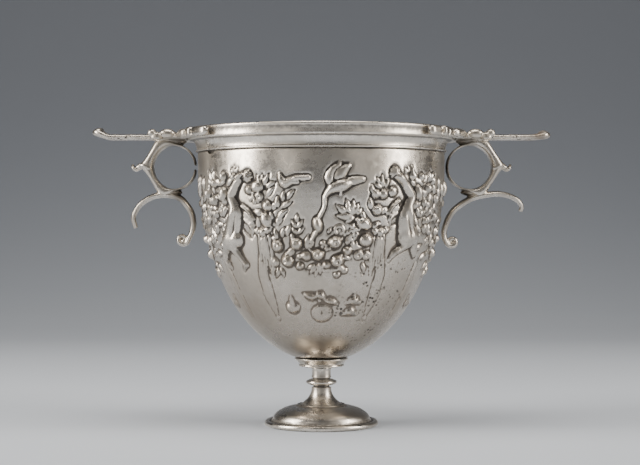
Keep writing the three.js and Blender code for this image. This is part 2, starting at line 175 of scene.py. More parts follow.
class Wall:
    """Height of the relief over the casing, in millimetres, on rows of length and columns of azimuth"""

    def __init__(self, lengths, azimuths):
        self.s = lengths
        self.phi = azimuths
        self.height = np.zeros((len(lengths), len(azimuths)))

    def spot(self, azimuth, height, reach):
        """The part of the grid within reach of a place, with x to its right and y above it"""
        s0 = length_at(height)
        x = radius_at(height) * ((self.phi - math.radians(azimuth) + math.pi) % (2 * math.pi) - math.pi)
        columns = np.nonzero(np.abs(x) < reach)[0]
        rows = np.nonzero(np.abs(self.s - s0) < reach)[0]
        return np.ix_(rows, columns), *np.meshgrid(x[columns], self.s[rows] - s0)

    def lay(self, spot, edge, body, groove, skirt=0.55, pile=0.35):
        """Raise the wall to a body inside its edge, partly over what it covers, and cut a groove round it"""
        under = self.height[spot]
        cut = groove * np.exp(-(np.maximum(edge, 0) / skirt) ** 2)
        laid = np.maximum(under * 0.6, body + pile * np.maximum(under, 0))
        self.height[spot] = np.where(edge < 0, laid, np.maximum(under - cut, np.minimum(under, -groove)))

    def boss(self, azimuth, height, a, b, relief, turn=0, groove=0.42, detail=None):
        """Rounded boss with half sizes a and b; detail(x, y) is added to it in boss radii"""
        spot, x, y = self.spot(azimuth, height, 1.6 * max(a, b) + 1)
        x, y = turned_axes(x, y, turn)
        edge = (np.hypot(x / a, y / b) - 1) * min(a, b)
        body = crown(edge, min(a, b), relief)
        if detail is not None:
            body = body * (1 + detail(x / a, y / b))
        self.lay(spot, edge, body, groove)

    def leaf(self, azimuth, height, turn, size, width, relief, veins=True, groove=0.55):
        """Pointed leaf from its root; its half width is width * size / 2 * sin(pi t^0.75) along its length"""
        spot, x, y = self.spot(azimuth, height, size + 1.2)
        x, y = turned_axes(x, y, turn)
        y = y - 0.06 * size * np.sin(math.pi * x / size)
        t = np.clip(x / size, 0, 1)
        half = width * size / 2 * np.sin(math.pi * t ** 0.75)
        aside = np.abs(y)
        beyond = np.maximum(np.maximum(-x, x - size), 0)
        inside = np.where((beyond == 0) & (aside < half), half - aside, 0)
        edge = np.hypot(np.maximum(aside - half, 0), beyond) - inside
        body = crown(edge, width * size / 2, relief) * (0.8 + 0.2 * t)
        if veins:
            vein = np.exp(-(y / 0.3) ** 2) * smooth(0, 0.15, t) * (1 - smooth(0.8, 1, t))
            body = body - 0.5 * relief * vein
        self.lay(spot, edge, body, groove)

    def limbs(self, azimuth, height, reach, chains, flip=1, groove=0.4, detail=None, pile=0.1, soften=0):
        """Rounded limbs, each a smooth line through points (x, y, half width, relief).

        A limb is the envelope of half ellipsoids, relief * (1 - (distance / half width)^2)^0.6, along
        its line, and limbs merge by a smooth maximum, max(a, b) + (k - |a - b|)^2 / 4k. Soften is the
        number of rounds of blurring over them.
        """
        spot, x, y = self.spot(azimuth, height, reach)
        x = x * flip
        edge = np.full_like(x, 1e3)
        body = np.zeros_like(x)
        blend = 1.4
        for chain in chains:
            limb = np.zeros_like(x)
            for cx, cy, radius, relief in smooth_path(chain, 8 * len(chain)):
                far = np.hypot(x - cx, y - cy)
                edge = np.minimum(edge, far - radius)
                limb = np.maximum(limb, relief * np.maximum(0, 1 - (far / radius) ** 2) ** 0.6)
            overlap = np.minimum(body, limb) > 0
            fillet = np.maximum(blend - np.abs(body - limb), 0) ** 2 / (4 * blend)
            body = np.maximum(body, limb) + fillet * overlap
        body = eased(body, soften)
        if detail is not None:
            body = body + detail(x, y) * (edge < 0)
        self.lay(spot, edge, body, groove, pile=pile)

    def band(self, points, widths, relief, pleats=3):
        """Ribbon through (azimuth, height) points with a width at each, pleated along its length"""
        azimuth, height = points[len(points) // 2]
        spot, x, y = self.spot(azimuth, height, 1.2 * abs(points[0][1] - points[-1][1]) + 6)
        rows = y[:, :1]
        s0 = length_at(height)
        path_y = np.array([length_at(z) - s0 for _, z in points])
        path_x = np.array([math.radians(a - azimuth) * radius_at(z) for a, z in points])
        order = np.argsort(path_y)
        centre = np.interp(rows, path_y[order], path_x[order])
        half = np.interp(rows, path_y[order], np.array(widths)[order]) / 2
        inside = (rows > path_y.min()) & (rows < path_y.max())
        local = x * np.interp(s0 + rows, CURVE_S, CURVE_R) / radius_at(height)
        edge = np.where(inside, np.abs(local - centre) - half, 1.0)
        across = (local - centre) / np.maximum(half, 0.1)
        body = crown(edge, 0.5, relief) * (0.75 + 0.25 * np.cos(math.pi * pleats * across))
        self.lay(spot, edge, body, groove=0.5, skirt=0.5, pile=0.3)


def ribbed(count, depth):
    """Melon ribs: the crown falls by depth between count meridians"""
    def detail(x, y):
        return -depth * (0.5 + 0.5 * np.cos(count * np.arctan2(y, x))) * np.clip(np.hypot(x, y), 0, 1)
    return detail


def calyx(turn, shift=0.3, size=0.34):
    """A pomegranate's crown: a raised ring with a pit, away from the middle"""
    cx, cy = shift * math.cos(math.radians(turn)), shift * math.sin(math.radians(turn))

    def detail(x, y):
        r = np.hypot(x - cx, y - cy) / size
        points = 1 + 0.25 * np.cos(5 * np.arctan2(y - cy, x - cx))
        return 0.28 * np.exp(-((r - points) / 0.35) ** 2) - 0.5 * np.exp(-(r / 0.6) ** 2)
    return detail


def petals(count):
    """A rosette: count petals round a small eye"""
    def detail(x, y):
        r = np.hypot(x, y)
        gaps = np.abs(np.sin(count / 2 * np.arctan2(y, x))) ** 6
        return -0.35 * np.exp(-((r - 0.42) / 0.12) ** 2) - 0.3 * smooth(0.4, 1, r) * gaps
    return detail


def swag_place(middle, half_span, low, high, share):
    """A place on a hanging swag, with the direction it runs in: half an ellipse below its two ends"""
    turn = share * math.pi / 2
    azimuth = middle + half_span * math.sin(turn)
    height = high - (high - low) * math.cos(turn)
    run = math.degrees(math.atan2((high - low) * math.sin(turn), 0.9 * half_span * math.cos(turn)))
    return azimuth, height, run


def swag_leaves(wall, middle, half_span, low, high, width, rows, seed):
    """Foliage of a swag: leaves that point along it and outwards, so many that they overlap"""
    rng = np.random.default_rng(seed)
    for i in range(rows):
        share = -1 + 2 * (i + 0.5) / rows
        azimuth, height, run = swag_place(middle, half_span, low, high, share)
        across = math.radians(run + 90)
        radius = radius_at(height)
        for side in (-1, 1):
            off = side * width * rng.uniform(0.2, 0.6)
            outwards = side * (-1 if share < 0 else 1) * rng.uniform(25, 75)
            aside = math.degrees(off * math.cos(across) / radius)
            turn = run + (0 if share > 0 else 180) + outwards
            wall.leaf(azimuth + aside, height + off * math.sin(across), turn,
                      rng.uniform(5.0, 6.6), rng.uniform(0.36, 0.46), rng.uniform(0.8, 1.2))


def berries(wall, azimuth, height, count, radius, seed):
    """Cluster of small berries round a place"""
    rng = np.random.default_rng(seed)
    for i in range(count):
        turn = i * 2.4
        far = radius * 1.15 * math.sqrt(i)
        x, y = far * math.cos(turn), far * math.sin(turn)
        size = radius * rng.uniform(0.85, 1.1)
        wall.boss(azimuth + math.degrees(x / 50), height + y, size, size, 0.95 * size, groove=0.2)


# Winged boys, in millimetres from the waist: x towards the panel's middle, y up, half width, relief
BOY_WAIST = 84.0
STRIDING = [
    [(2.5, 5.8, 3.1, 2.9), (1.5, 3.5, 3.6, 3.2), (0.2, 1.0, 3.9, 3.0), (-0.9, -1.5, 4.2, 3.0),
     (-1.6, -3.8, 4.5, 3.2)],
    [(-3.6, -5.6, 4.5, 3.6), (-3.3, -5.6, 4.4, 3.6)],
    [(0.7, -5.4, 3.3, 3.0), (0.9, -5.0, 3.2, 3.0)],
    [(2.6, 6.4, 2.6, 2.9), (2.0, 8.8, 2.3, 2.8), (0.9, 11.4, 2.1, 2.6), (1.3, 13.4, 2.3, 2.8),
     (3.2, 16.2, 1.7, 2.6), (5.4, 19.0, 1.5, 2.9)],
    [(-6.4, -8.4, 2.4, 2.3), (-8.6, -10.4, 1.9, 1.8), (-9.8, -12.4, 1.5, 1.7)],
    [(-11.5, -12.2, 0.5, 2.4), (-8.1, -12.7, 0.5, 2.4)],
    [(-9.8, -13.6, 1.1, 1.6), (-9.4, -15.4, 1.5, 1.9), (-8.2, -17.4, 0.8, 1.2)],
    [(-1.6, -8.6, 2.4, 2.6), (-0.2, -11.0, 1.8, 2.3), (1.0, -12.9, 1.3, 1.9), (2.2, -14.6, 1.1, 1.7),
     (3.2, -15.8, 1.2, 1.7)],
    [(3.0, -15.8, 1.0, 1.5), (1.6, -17.2, 0.8, 1.2), (0.7, -18.4, 0.5, 0.8)],
]
STRIDING_HEAD = (9.6, 19.9)
STRIDING_WING = [(5.8, 8.4), (7.2, 7.6), (9.4, 5.7), (10.7, 3.0)], (5.6, -1.6), (9.0, -4.6)
KNEELING = [
    [(2.6, 7.0, 2.9, 2.8), (2.6, 4.4, 3.7, 3.1), (2.1, 1.2, 4.2, 3.1), (1.5, -1.5, 4.5, 3.0),
     (0.9, -3.6, 4.5, 3.0)],
    [(1.3, -4.0, 4.2, 3.4), (1.5, -3.8, 4.2, 3.4)],
    [(-2.5, -3.7, 3.9, 3.4), (-2.2, -3.5, 3.9, 3.4)],
    [(-2.9, 3.0, 1.3, 1.6), (-3.9, 0.7, 1.8, 1.9), (-4.8, -1.8, 1.7, 1.7)],
    [(2.6, 7.2, 2.5, 2.9), (2.0, 9.6, 2.2, 2.7), (0.9, 12.2, 2.2, 2.6), (2.6, 14.6, 2.1, 2.7),
     (4.8, 17.1, 1.5, 2.8), (6.5, 18.9, 1.8, 3.1), (7.9, 20.0, 1.7, 3.2)],
    [(-0.7, -7.1, 2.1, 2.6), (1.6, -8.1, 1.8, 2.4), (5.5, -10.2, 1.6, 2.2), (6.9, -12.0, 1.1, 1.5),
     (7.9, -13.8, 0.8, 1.1)],
    [(-4.7, -6.8, 2.3, 2.0), (-5.8, -8.8, 2.2, 1.8), (-7.6, -11.5, 1.7, 1.4)],
]
KNEELING_HEAD = (10.0, 21.4)
KNEELING_WING = [(7.0, 10.6), (9.8, 8.4), (11.8, 5.4)], (7.0, 1.4), (10.3, 0.2)


def back_detail(x, y):
    """Spine and shoulder blade of a back, and the crease of an elbow"""
    spine = -0.8 * np.exp(-((x - 1.6 - 0.36 * y) / 0.6) ** 2) * smooth(-5, -1, y) * (1 - smooth(4, 7, y))
    blade = 0.6 * np.exp(-((x - 1.8) / 1.1) ** 2 - ((y - 5.0) / 1.8) ** 2)
    elbow = -0.4 * np.exp(-((x - 3.0) / 1.3) ** 2 - ((y - 12.2) / 0.4) ** 2)
    return spine + blade + elbow


def wing(wall, at, side, edge, first_tip, last_tip):
    """Long feathers hung from a raised edge, with rows of small scales over their roots"""
    edge = np.asarray(smooth_path(edge, 7))
    tips = np.linspace(first_tip, last_tip, 7)
    for root, tip in zip(edge, tips):
        dx, dy = tip - root
        turn = math.degrees(math.atan2(dy, side * dx))
        wall.leaf(*at(*root), turn, math.hypot(dx, dy), 0.24, 0.8)
    for row in range(4):
        for root, tip in zip(edge[:-1], tips[:-1]):
            share = 0.1 + 0.14 * row + (0.04 if row % 2 else 0)
            x, y = root + (tip - root) * share
            wall.boss(*at(x + (0.6 if row % 2 else 0), y), 0.75, 0.95, 0.95 - 0.06 * row, groove=0.22)
    chain = [(x, y, 0.65, 1.7) for x, y in edge]
    wall.limbs(*at(0, 0), 20, [chain], side, 0.25)


def curly_head(wall, at, head):
    """Small head from behind: a round mass of curls, plain and calm"""
    wall.boss(*at(*head), 2.2, 2.4, 2.0)
    for ring, count, relief in ((1.9, 9, 1.9), (0.95, 5, 2.4), (0, 1, 2.6)):
        for i in range(count):
            turn = 2 * math.pi * (i + 0.4 * ring) / count
            wall.boss(*at(head[0] + ring * math.cos(turn), head[1] + ring * math.sin(turn)), 0.6, 0.6,
                      relief, groove=0.5)


def winged_boy(wall, azimuth, side, limbs, head, wing_shape):
    """Boy seen from behind who lifts a garland; side is 1 where the panel's middle lies to the right"""
    def at(x, y):
        return azimuth + side * math.degrees(x / BOWL_RADIUS), BOY_WAIST + y

    wing(wall, at, side, *wing_shape)
    curly_head(wall, at, head)
    wall.limbs(azimuth, BOY_WAIST, 26, limbs, side, 0.5, back_detail, soften=6)
    for i in range(3):
        x, y = limbs[3][-1][:2]
        finger = [(x, y, 0.55, 3.1), (x + 1.4 - 1.1 * i, y + 2.1 - 0.3 * i, 0.45, 2.9)]
        wall.limbs(azimuth, BOY_WAIST, 26, [finger], side, 0.3)


def pit(x, y):
    """A ring: the crown sinks in its middle"""
    return -0.95 * np.exp(-(np.hypot(x, y) / 0.42) ** 2)


def fruit_rows(rows):
    """Rows of fruit, filled up with no turn and no form where they leave them out"""
    return [row + (0, None)[len(row) - 5:] for row in rows]


RIBBED = ribbed(8, 0.2)
ROSE = petals(6)

# Fruit of the front panel: azimuth, height, half width, half height, relief, turn and form
FRONT_FRUIT = fruit_rows([
    (-25.0, 92.1, 2.0, 2.1, 1.8), (-26.0, 86.6, 2.3, 3.0, 2.0, 20),
    (-21.4, 76.3, 2.4, 2.4, 2.1, 0, calyx(75)), (-11.9, 77.1, 2.4, 2.4, 2.1, 0, calyx(85)),
    (-7.3, 72.4, 1.9, 1.9, 1.4, 0, ROSE), (-24.3, 69.9, 2.0, 2.0, 1.4, 0, ROSE),
    (-1.7, 72.9, 2.4, 2.4, 2.1, 0, calyx(150)), (6.3, 77.8, 2.5, 2.4, 2.1, 0, calyx(5, 0.1, 0.42)),
    (-16.8, 70.4, 2.4, 2.4, 2.1, 0, calyx(170, 0.35, 0.4)),
    (7.7, 70.4, 2.6, 2.5, 2.0, 0, calyx(20, 0.1, 0.42)), (0.7, 77.5, 1.1, 0.9, 1.0),
    (19.7, 85.0, 3.3, 2.3, 2.1, -24), (16.3, 86.8, 0.9, 0.7, 1.4, -24),
    (21.3, 78.7, 2.9, 2.6, 2.1, 10, ribbed(10, 0.1)), (18.3, 72.8, 1.9, 1.9, 1.3, 0, pit),
    (22.4, 72.6, 1.8, 1.7, 1.3, 0, pit), (25.8, 90.5, 2.2, 2.0, 1.9, 0, calyx(200)),
    (28.2, 96.8, 2.0, 2.0, 1.8), (24.7, 96.8, 1.8, 1.9, 1.5), (33.4, 97.8, 2.0, 2.0, 1.6, 0, ROSE),
    (-29.5, 99.8, 2.8, 2.4, 2.0, 0, RIBBED), (-28.7, 95.8, 1.7, 1.7, 1.4, 0, pit),
    (-34.2, 98.5, 1.6, 1.6, 1.3, 0, ROSE), (12.4, 74.6, 1.8, 1.7, 1.5), (2.6, 68.9, 1.6, 1.5, 1.3),
    (-11.0, 68.4, 1.6, 1.4, 1.3),
])
# Leaves of the front panel: azimuth and height of the root, turn and length
FRONT_LEAVES = [
    (-26.0, 99.8, 100, 5.0), (-26.0, 99.8, 66, 5.4), (-25.4, 99.0, 30, 5.2), (-27.0, 101.2, 128, 4.2),
    (28.6, 99.2, 128, 5.4), (28.6, 99.2, 100, 5.6), (28.0, 99.0, 152, 4.4), (29.4, 99.0, 66, 4.6),
    (-15.4, 94.8, 48, 4.8), (-17.4, 93.8, 82, 4.2), (-19.8, 91.4, 90, 4.8), (-18.1, 91.4, 26, 5.0),
    (-20.2, 87.0, 40, 5.6), (-22.6, 86.4, 100, 4.4), (-10.8, 85.0, 92, 4.2), (-10.9, 83.2, 124, 4.2),
    (-10.9, 83.2, 58, 4.2), (-10.9, 81.0, 132, 4.0), (-10.9, 81.0, 48, 4.0), (14.8, 88.3, 150, 8.6),
    (14.8, 88.1, 177, 7.4), (14.9, 88.5, 120, 7.4), (15.2, 88.6, 98, 6.2), (15.8, 88.6, 80, 4.8),
    (15.0, 87.6, 205, 4.2), (16.2, 88.4, 52, 3.4), (-18.9, 79.6, 70, 4.6), (-21.0, 79.4, 105, 4.2),
    (-24.0, 79.0, 130, 3.8), (-2.4, 68.8, 262, 5.0), (-3.0, 69.0, 238, 4.8), (-2.2, 69.0, 286, 4.6),
    (-3.4, 69.2, 214, 4.2), (-1.6, 69.4, 308, 3.8), (-22.5, 67.6, 250, 4.6), (-21.5, 67.6, 285, 4.4),
    (-24.0, 68.0, 220, 4.2), (20.5, 69.5, 290, 4.8), (22.5, 70.0, 325, 4.4), (24.3, 82.6, 50, 4.4),
    (24.6, 82.0, 15, 3.8), (26.5, 75.5, 330, 4.0), (25.2, 76.6, 300, 4.6), (3.0, 81.2, 60, 2.8),
    (10.6, 72.6, 20, 4.0), (3.2, 75.6, 130, 3.6), (-5.0, 75.4, 70, 3.8),
]


def festoon(wall, middle, mirror, seed):
    """The garland of a long panel: foliage first, then its leaves, berries and fruit"""
    def turn_of(turn):
        return turn if mirror > 0 else 180 - turn

    swag_leaves(wall, middle, half_span=26.5, low=73.0, high=99, width=3.2, rows=13, seed=seed)
    for azimuth, height, turn, size in FRONT_LEAVES:
        wall.leaf(middle + mirror * azimuth, height, turn_of(turn), size, 0.36, 1.1, groove=0.65)
    clusters = ((14.6, 82.0, 9, 0.8), (14.6, 78.4, 7, 0.8), (2.2, 76.4, 6, 0.7), (-31.5, 95.2, 7, 0.8))
    for azimuth, height, count, size in clusters:
        berries(wall, middle + mirror * azimuth, height, count, size, seed)
    for azimuth, height, a, b, relief, turn, form in FRONT_FRUIT:
        wall.boss(middle + mirror * azimuth, height, a, b, relief, turn_of(turn), 0.4, form)
    tendril(wall, middle + mirror * 8.2, 82.6, 1.7, mirror)
    for azimuth, height in ((8.0, 65.0), (11.6, 66.6), (9.6, 67.6)):
        wall.boss(middle + mirror * azimuth, height, 1.35, 1.25, 1.0, 0, 0.35)
    wall.limbs(middle, 66.4, 9, [[(-1.6, 0.2, 0.35, 0.5), (6.4, 0.4, 0.35, 0.5)]], mirror, 0.2)


def tendril(wall, azimuth, height, radius, flip):
    """Thin shoot that curls round on itself"""
    turns = np.radians(np.linspace(-60, 230, 10))
    curl = [(radius * math.cos(t), radius * math.sin(t), 0.42, 0.8) for t in turns]
    wall.limbs(azimuth, height, 3 * radius + 2, [curl], flip, 0.3)


def knots_and_ribbons(wall, middle):
    """A bow below each end of the garland, with pleated ends that hang to a point"""
    for side in (-1, 1):
        def points(*places):
            return [(middle + side * a, z) for a, z in places]

        wall.band(points((28.6, 80.5), (30.4, 72), (32.0, 65), (31.6, 56.6), (31.0, 51), (30.7, 47.6)),
                  (2.4, 3.6, 4.2, 4.8, 2.6, 0.5), 0.6)
        wall.band(points((26.0, 80.5), (25.6, 72), (26.4, 64)), (2.0, 2.8, 0.8), 0.4, 2)
        for turn in (20, 160):
            wall.leaf(middle + side * 28.6, 81.4, 90 + side * (turn - 90), 4.6, 0.6, 1.0, False)
        for i in range(4):
            pleat = [(0.9 * (i - 1.5), 3.2, 0.5, 1.2), (1.1 * (i - 1.5), -3.4, 0.55, 1.1),
                     (1.15 * (i - 1.5) + 0.2, -10.5 + 1.2 * i, 0.4, 0.5)]
            wall.limbs(middle + side * 28.8, 77.5, 13, [pleat], side, 0.45)
        wall.boss(middle + side * 28.4, 81.8, 1.4, 1.7, 1.6)
        wall.boss(middle + side * 30.8, 47.0, 0.8, 1.0, 0.7, 0, 0.4)


def bird(wall, middle):
    """Long-necked bird that stoops to the garland, in millimetres from the panel's middle at 84 mm"""
    def quills(x, y):
        return -0.16 * (0.5 + 0.5 * np.cos(5.2 * (x - 0.35 * y)))

    def quill(x, y):
        return -0.25 * np.exp(-((y - 17.0 - 0.24 * (x - 9)) / 0.3) ** 2)

    def part(chain, groove=0.45, detail=None, pile=0.1):
        wall.limbs(middle, 84, 28, [chain], 1, groove, detail, pile)

    part([(3.4, 16.6, 1.3, 0.9), (3.3, 19.6, 2.0, 1.1), (4.8, 22.6, 1.5, 1.0), (7.2, 24.6, 0.5, 0.7)],
         0.45, quills, 0)
    part([(6.6, 17.2, 1.6, 1.0), (6.8, 20.2, 2.3, 1.3), (8.6, 22.6, 1.6, 1.2), (10.6, 24.0, 0.6, 0.8)],
         0.45, quills, 0)
    part([(9.0, 17.0, 1.9, 1.1), (12.0, 18.0, 1.7, 1.0), (16.0, 18.7, 0.9, 0.8)], 0.45, quill, 0)
    part([(10.0, 16.9, 1.5, 1.3), (7.4, 16.2, 2.5, 2.0), (4.0, 14.9, 1.7, 1.7), (1.5, 12.2, 0.8, 1.2),
          (1.0, 7.7, 0.65, 1.0), (-0.8, 3.8, 0.7, 1.1)])
    part([(7.6, 15.0, 0.5, 0.8), (7.2, 12.8, 0.4, 0.6)], 0.3)
    wall.boss(middle - 1.8, 84.6, 1.75, 3.1, 1.9, 12, 0.5)
    part([(-2.4, -2.6, 0.9, 1.2), (-4.5, -6.2, 0.4, 0.8)], 0.4)


def instruments(wall, middle):
    """Pipes above, and a flask, a drum with a bow, and a pair of cymbals below"""
    wall.limbs(middle - 12, 102.2, 12, [
        [(-5.4, 0.6, 1.2, 1.0), (-3.8, -1.2, 1.8, 1.4), (-1.0, -0.2, 1.5, 1.3), (1.0, 0.8, 1.1, 1.1)],
        [(0.6, 0.9, 1.1, 0.9), (5.6, 1.0, 1.0, 0.8)],
        [(-5.4, 0.6, 0.9, 1.0), (-5.8, 2.6, 0.5, 0.8)],
    ])
    wall.limbs(middle - 12, 102.2, 12, [[(-4.4, -1.6, 0.6, 1.5), (1.6, -0.8, 0.5, 1.1)]], groove=0.25)

    flask = middle - 17.8
    wall.boss(flask, 51.6, 2.7, 2.5, 1.6, 0, 0.6)
    neck = [(0, -1.8, 1.1, 1.3), (-0.1, -0.2, 0.75, 1.0), (-0.1, 0.8, 0.5, 0.8)]
    wall.limbs(flask, 55.0, 5, [neck], groove=0.5)

    spot, x, y = wall.spot(middle + 0.2, 49.2, 7)
    r = np.hypot(x, y)
    upright = np.exp(-(x / 0.3) ** 2) * (np.abs(y - 1.6) < 0.9)
    level = np.exp(-(y / 0.3) ** 2) * (np.abs(x - 1.9) < 0.6)
    hub = 0.7 * np.exp(-(r / 0.55) ** 2) + 0.6 * np.exp(-(np.hypot(x, y + 1.6) / 0.4) ** 2)
    wall.lay(spot, r - 4.1, crown(r - 4.1, 0.6, 0.7) - 0.55 * (upright + level) - hub, 0.7)
    bow = ((-2.2, 55.6, 160, 6.4, 0.42), (-3.0, 57.6, 318, 5.0, 0.62), (1.2, 54.6, -14, 6.4, 0.42))
    for azimuth, height, turn, size, width in bow:
        wall.leaf(middle + azimuth, height, turn, size, width, 1.5, False, 0.7)
    wall.boss(middle - 1.2, 54.6, 0.8, 1.1, -1.2, 20, 0.7)

    for shift, base, half in ((19.3, 53.5, 3.6), (18.4, 49.0, 3.8)):
        rim = [(-half + 0.6, -0.1, 0.6, 1.0), (half - 0.6, -0.1, 0.6, 1.0)]
        wall.boss(middle + shift, base + 0.9, 2.2, 1.9, 1.6, 0, 0.45)
        wall.limbs(middle + shift, base, 6, [rim], groove=0.5)
        wall.boss(middle + shift, base + 2.9, 0.55, 0.5, 0.8, 0, 0.3)


# Outer side of each boy: degrees past the boy, height, half width, half height, relief, turn and form
LEFT_FRUIT = fruit_rows([
    (4.5, 104.2, 1.7, 1.8, 1.9), (11.5, 101.5, 1.7, 1.7, 1.9), (18.4, 97.3, 1.9, 1.9, 2.0),
    (12.3, 94.6, 2.1, 2.1, 2.2), (4.3, 94.6, 1.5, 1.9, 1.7), (4.6, 97.4, 2.4, 2.6, 2.3),
    (12.3, 89.1, 1.7, 1.7, 1.8), (14.6, 83.1, 2.0, 1.9, 1.3, 0, pit),
    (-2.8, 103.6, 1.5, 1.7, 1.7, 0, RIBBED), (22.6, 86.7, 1.7, 1.7, 1.4, 0, pit),
    (38.5, 78.7, 1.8, 1.9, 1.7), (33.5, 72.4, 2.1, 2.2, 1.9), (29.2, 102.3, 1.4, 2.6, 1.5),
    (31.6, 97.5, 1.7, 1.7, 1.5, 0, pit), (26.0, 92.0, 1.7, 1.6, 1.5, 0, ROSE), (26.6, 78.0, 1.6, 1.9, 1.6),
])
RIGHT_FRUIT = fruit_rows([
    (-0.4, 104.4, 1.7, 1.7, 1.9), (-0.9, 106.6, 0.7, 1.5, 1.1), (5.5, 104.1, 1.7, 1.5, 1.6, 0, RIBBED),
    (10.9, 99.6, 1.7, 1.8, 1.8), (3.3, 97.8, 2.1, 3.0, 2.3, 4), (2.5, 92.8, 1.9, 1.7, 1.7, 30, RIBBED),
    (11.9, 86.4, 1.4, 1.5, 1.5), (13.7, 83.2, 2.0, 1.9, 1.3, 0, pit),
    (9.2, 93.7, 1.5, 1.6, 1.4, 0, calyx(90)), (32.5, 73.0, 2.1, 2.3, 1.9), (20.5, 95.4, 1.6, 1.8, 1.5),
    (22.0, 88.0, 1.7, 1.7, 1.5, 0, ROSE), (27.5, 82.0, 1.6, 1.7, 1.5), (38.0, 79.0, 1.7, 1.8, 1.5),
])


def side_garland(wall, middle, side, fruit, seed):
    """Half of the heavier garland under a handle, from a boy's shoulder to below the handle"""
    boy = middle - side * 45
    leaves = (
        (-3.6, 105.0, 118, 2.6), (-2.8, 105.2, 90, 3.0), (-2.0, 105.0, 62, 2.6), (12.0, 102.5, 80, 4.4),
        (15.5, 101.0, 60, 4.2), (24.0, 99.5, 96, 5.0), (4.0, 84.0, 96, 5.6), (7.0, 88.0, 120, 5.0),
        (8.0, 79.5, 100, 4.4), (33.5, 68.0, 262, 4.2), (29.5, 69.5, 240, 3.8),
    )
    for azimuth, height, turn, size in leaves:
        wall.leaf(boy + side * azimuth, height, turn if side > 0 else 180 - turn, size, 0.5, 1.3)
    clusters = ((8.2, 90.8), (18.5, 90.5), (19.0, 78.5), (30.0, 88.0), (35.0, 84.0), (24.0, 73.5))
    for azimuth, height in clusters:
        berries(wall, boy + side * azimuth, height, 6, 0.75, seed)
    for azimuth, height, a, b, relief, turn, form in fruit:
        wall.boss(boy + side * azimuth, height, a, b, relief, turn, 0.45, form)


def side_panel(wall, middle, seed):
    """The garland under a handle, from one boy to the next: foliage with fruit on top"""
    for half_span, low, width, rows in ((40, 68, 5, 18), (37, 79, 6, 15), (34, 90, 6, 12)):
        swag_leaves(wall, middle, half_span, low, 103.5, width, rows, seed + rows)
    side_garland(wall, middle, 1, RIGHT_FRUIT, seed)
    side_garland(wall, middle, -1, LEFT_FRUIT, seed)
    for side in (-1, 1):
        ribbon = [(middle + side * a, z) for a, z in ((31.6, 70), (32.4, 62), (33.6, 54), (34.8, 46.6))]
        wall.band(ribbon, (2.0, 3.4, 3.0, 0.6), 0.45, 2)
        wall.boss(middle + side * 20.7, 52.3, 2.0, 1.9, 1.3, 20, 0.5, pit)
        wall.leaf(middle + side * 20.7, 53.5, 90 - side * 40, 3.6, 0.5, 1.0)
        wall.leaf(middle + side * 14.0, 97.0, 90 - side * 25, 6.0, 0.55, 1.6)


def carve(wall):
    """All of the frieze: the side panels first, then the long panels and the boys over them"""
    for middle, seed in ((90, 21), (-90, 41)):
        side_panel(wall, middle, seed)
    for middle, mirror, seed in ((180, -1, 61), (0, 1, 81)):
        festoon(wall, middle, mirror, seed)
        knots_and_ribbons(wall, middle)
        winged_boy(wall, middle - 45, 1, STRIDING, STRIDING_HEAD, STRIDING_WING)
        winged_boy(wall, middle + 45, -1, KNEELING, KNEELING_HEAD, KNEELING_WING)
    bird(wall, 0)
    instruments(wall, 0)
    # A tall leaf that shows beside the right handle
    wall.leaf(80, 96.0, turn=88, size=8.0, width=0.45, relief=2.2)


def graded_columns(count):
    """Azimuths that lie closer together at the front, with the spacing at the back 1.75 times wider"""
    fine = np.linspace(-math.pi, math.pi, 4001)
    density = 1 + 0.75 * (0.5 + 0.5 * np.cos(fine)) ** 1.5
    share = np.concatenate([[0], np.cumsum((density[1:] + density[:-1]) / 2)])
    return np.interp(np.arange(count) / count, share / share[-1], fine)


def ring_faces(rows):
    """Faces between rings of vertices; where one has a share of its neighbour's count, triangles join them"""
    faces = []
    for (start, count), (after, next_count) in zip(rows[:-1], rows[1:]):
        if next_count == count:
            i = np.arange(count)
            j = (i + 1) % count
            faces += np.stack([start + i, start + j, after + j, after + i], 1).tolist()
        elif count == 1 or next_count == 1:
            i = np.arange(max(count, next_count))
            j = (i + 1) % len(i)
            if count == 1:
                faces += np.stack([np.full_like(i, start), after + j, after + i], 1).tolist()
            else:
                faces += np.stack([start + i, start + j, np.full_like(i, after)], 1).tolist()
        else:
            few, base, many, other = next_count, after, count, start
            if next_count > count:
                few, base, many, other = count, start, next_count, after
            ratio = many // few
            i = np.arange(few)
            ring = [other + (i * ratio + k) % many for k in range(ratio + 1)]
            half = ratio // 2
            near, far = base + i, base + (i + 1) % few
            parts = [(near, ring[k + 1], ring[k]) for k in range(half)]
            parts += [(far, ring[k + 1], ring[k]) for k in range(half, ratio)]
            parts += [(near, far, ring[half])]
            for a, b, c in parts:
                faces += np.stack((c, b, a) if next_count < count else (a, b, c), 1).tolist()
    return faces


def shade_smooth(mesh):
    mesh.polygons.foreach_set("use_smooth", np.ones(len(mesh.polygons), bool))


def new_object(name, data):
    """Object with its data, linked to the scene"""
    made = bpy.data.objects.new(name, data)
    bpy.context.scene.collection.objects.link(made)
    return made


def new_piece(name, node, points, faces):
    """Mesh object in metres from points in millimetres, smooth-shaded, that stands for a node"""
    mesh = bpy.data.meshes.new(name)
    mesh.from_pydata((np.asarray(points) * MM).tolist(), [], faces)
    mesh.validate()
    shade_smooth(mesh)
    piece = new_object(name, mesh)
    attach(piece, "root")
    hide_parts(node)
    return piece


def eased(field, rounds):
    """Field blurred over rows and round columns by the weights 1 2 1"""
    for _ in range(rounds):
        field = 0.5 * field + 0.25 * (np.roll(field, 1, 1) + np.roll(field, -1, 1))
        padded = np.pad(field, ((1, 1), (0, 0)), mode="edge")
        field = 0.5 * field + 0.25 * (padded[2:] + padded[:-2])
    return field


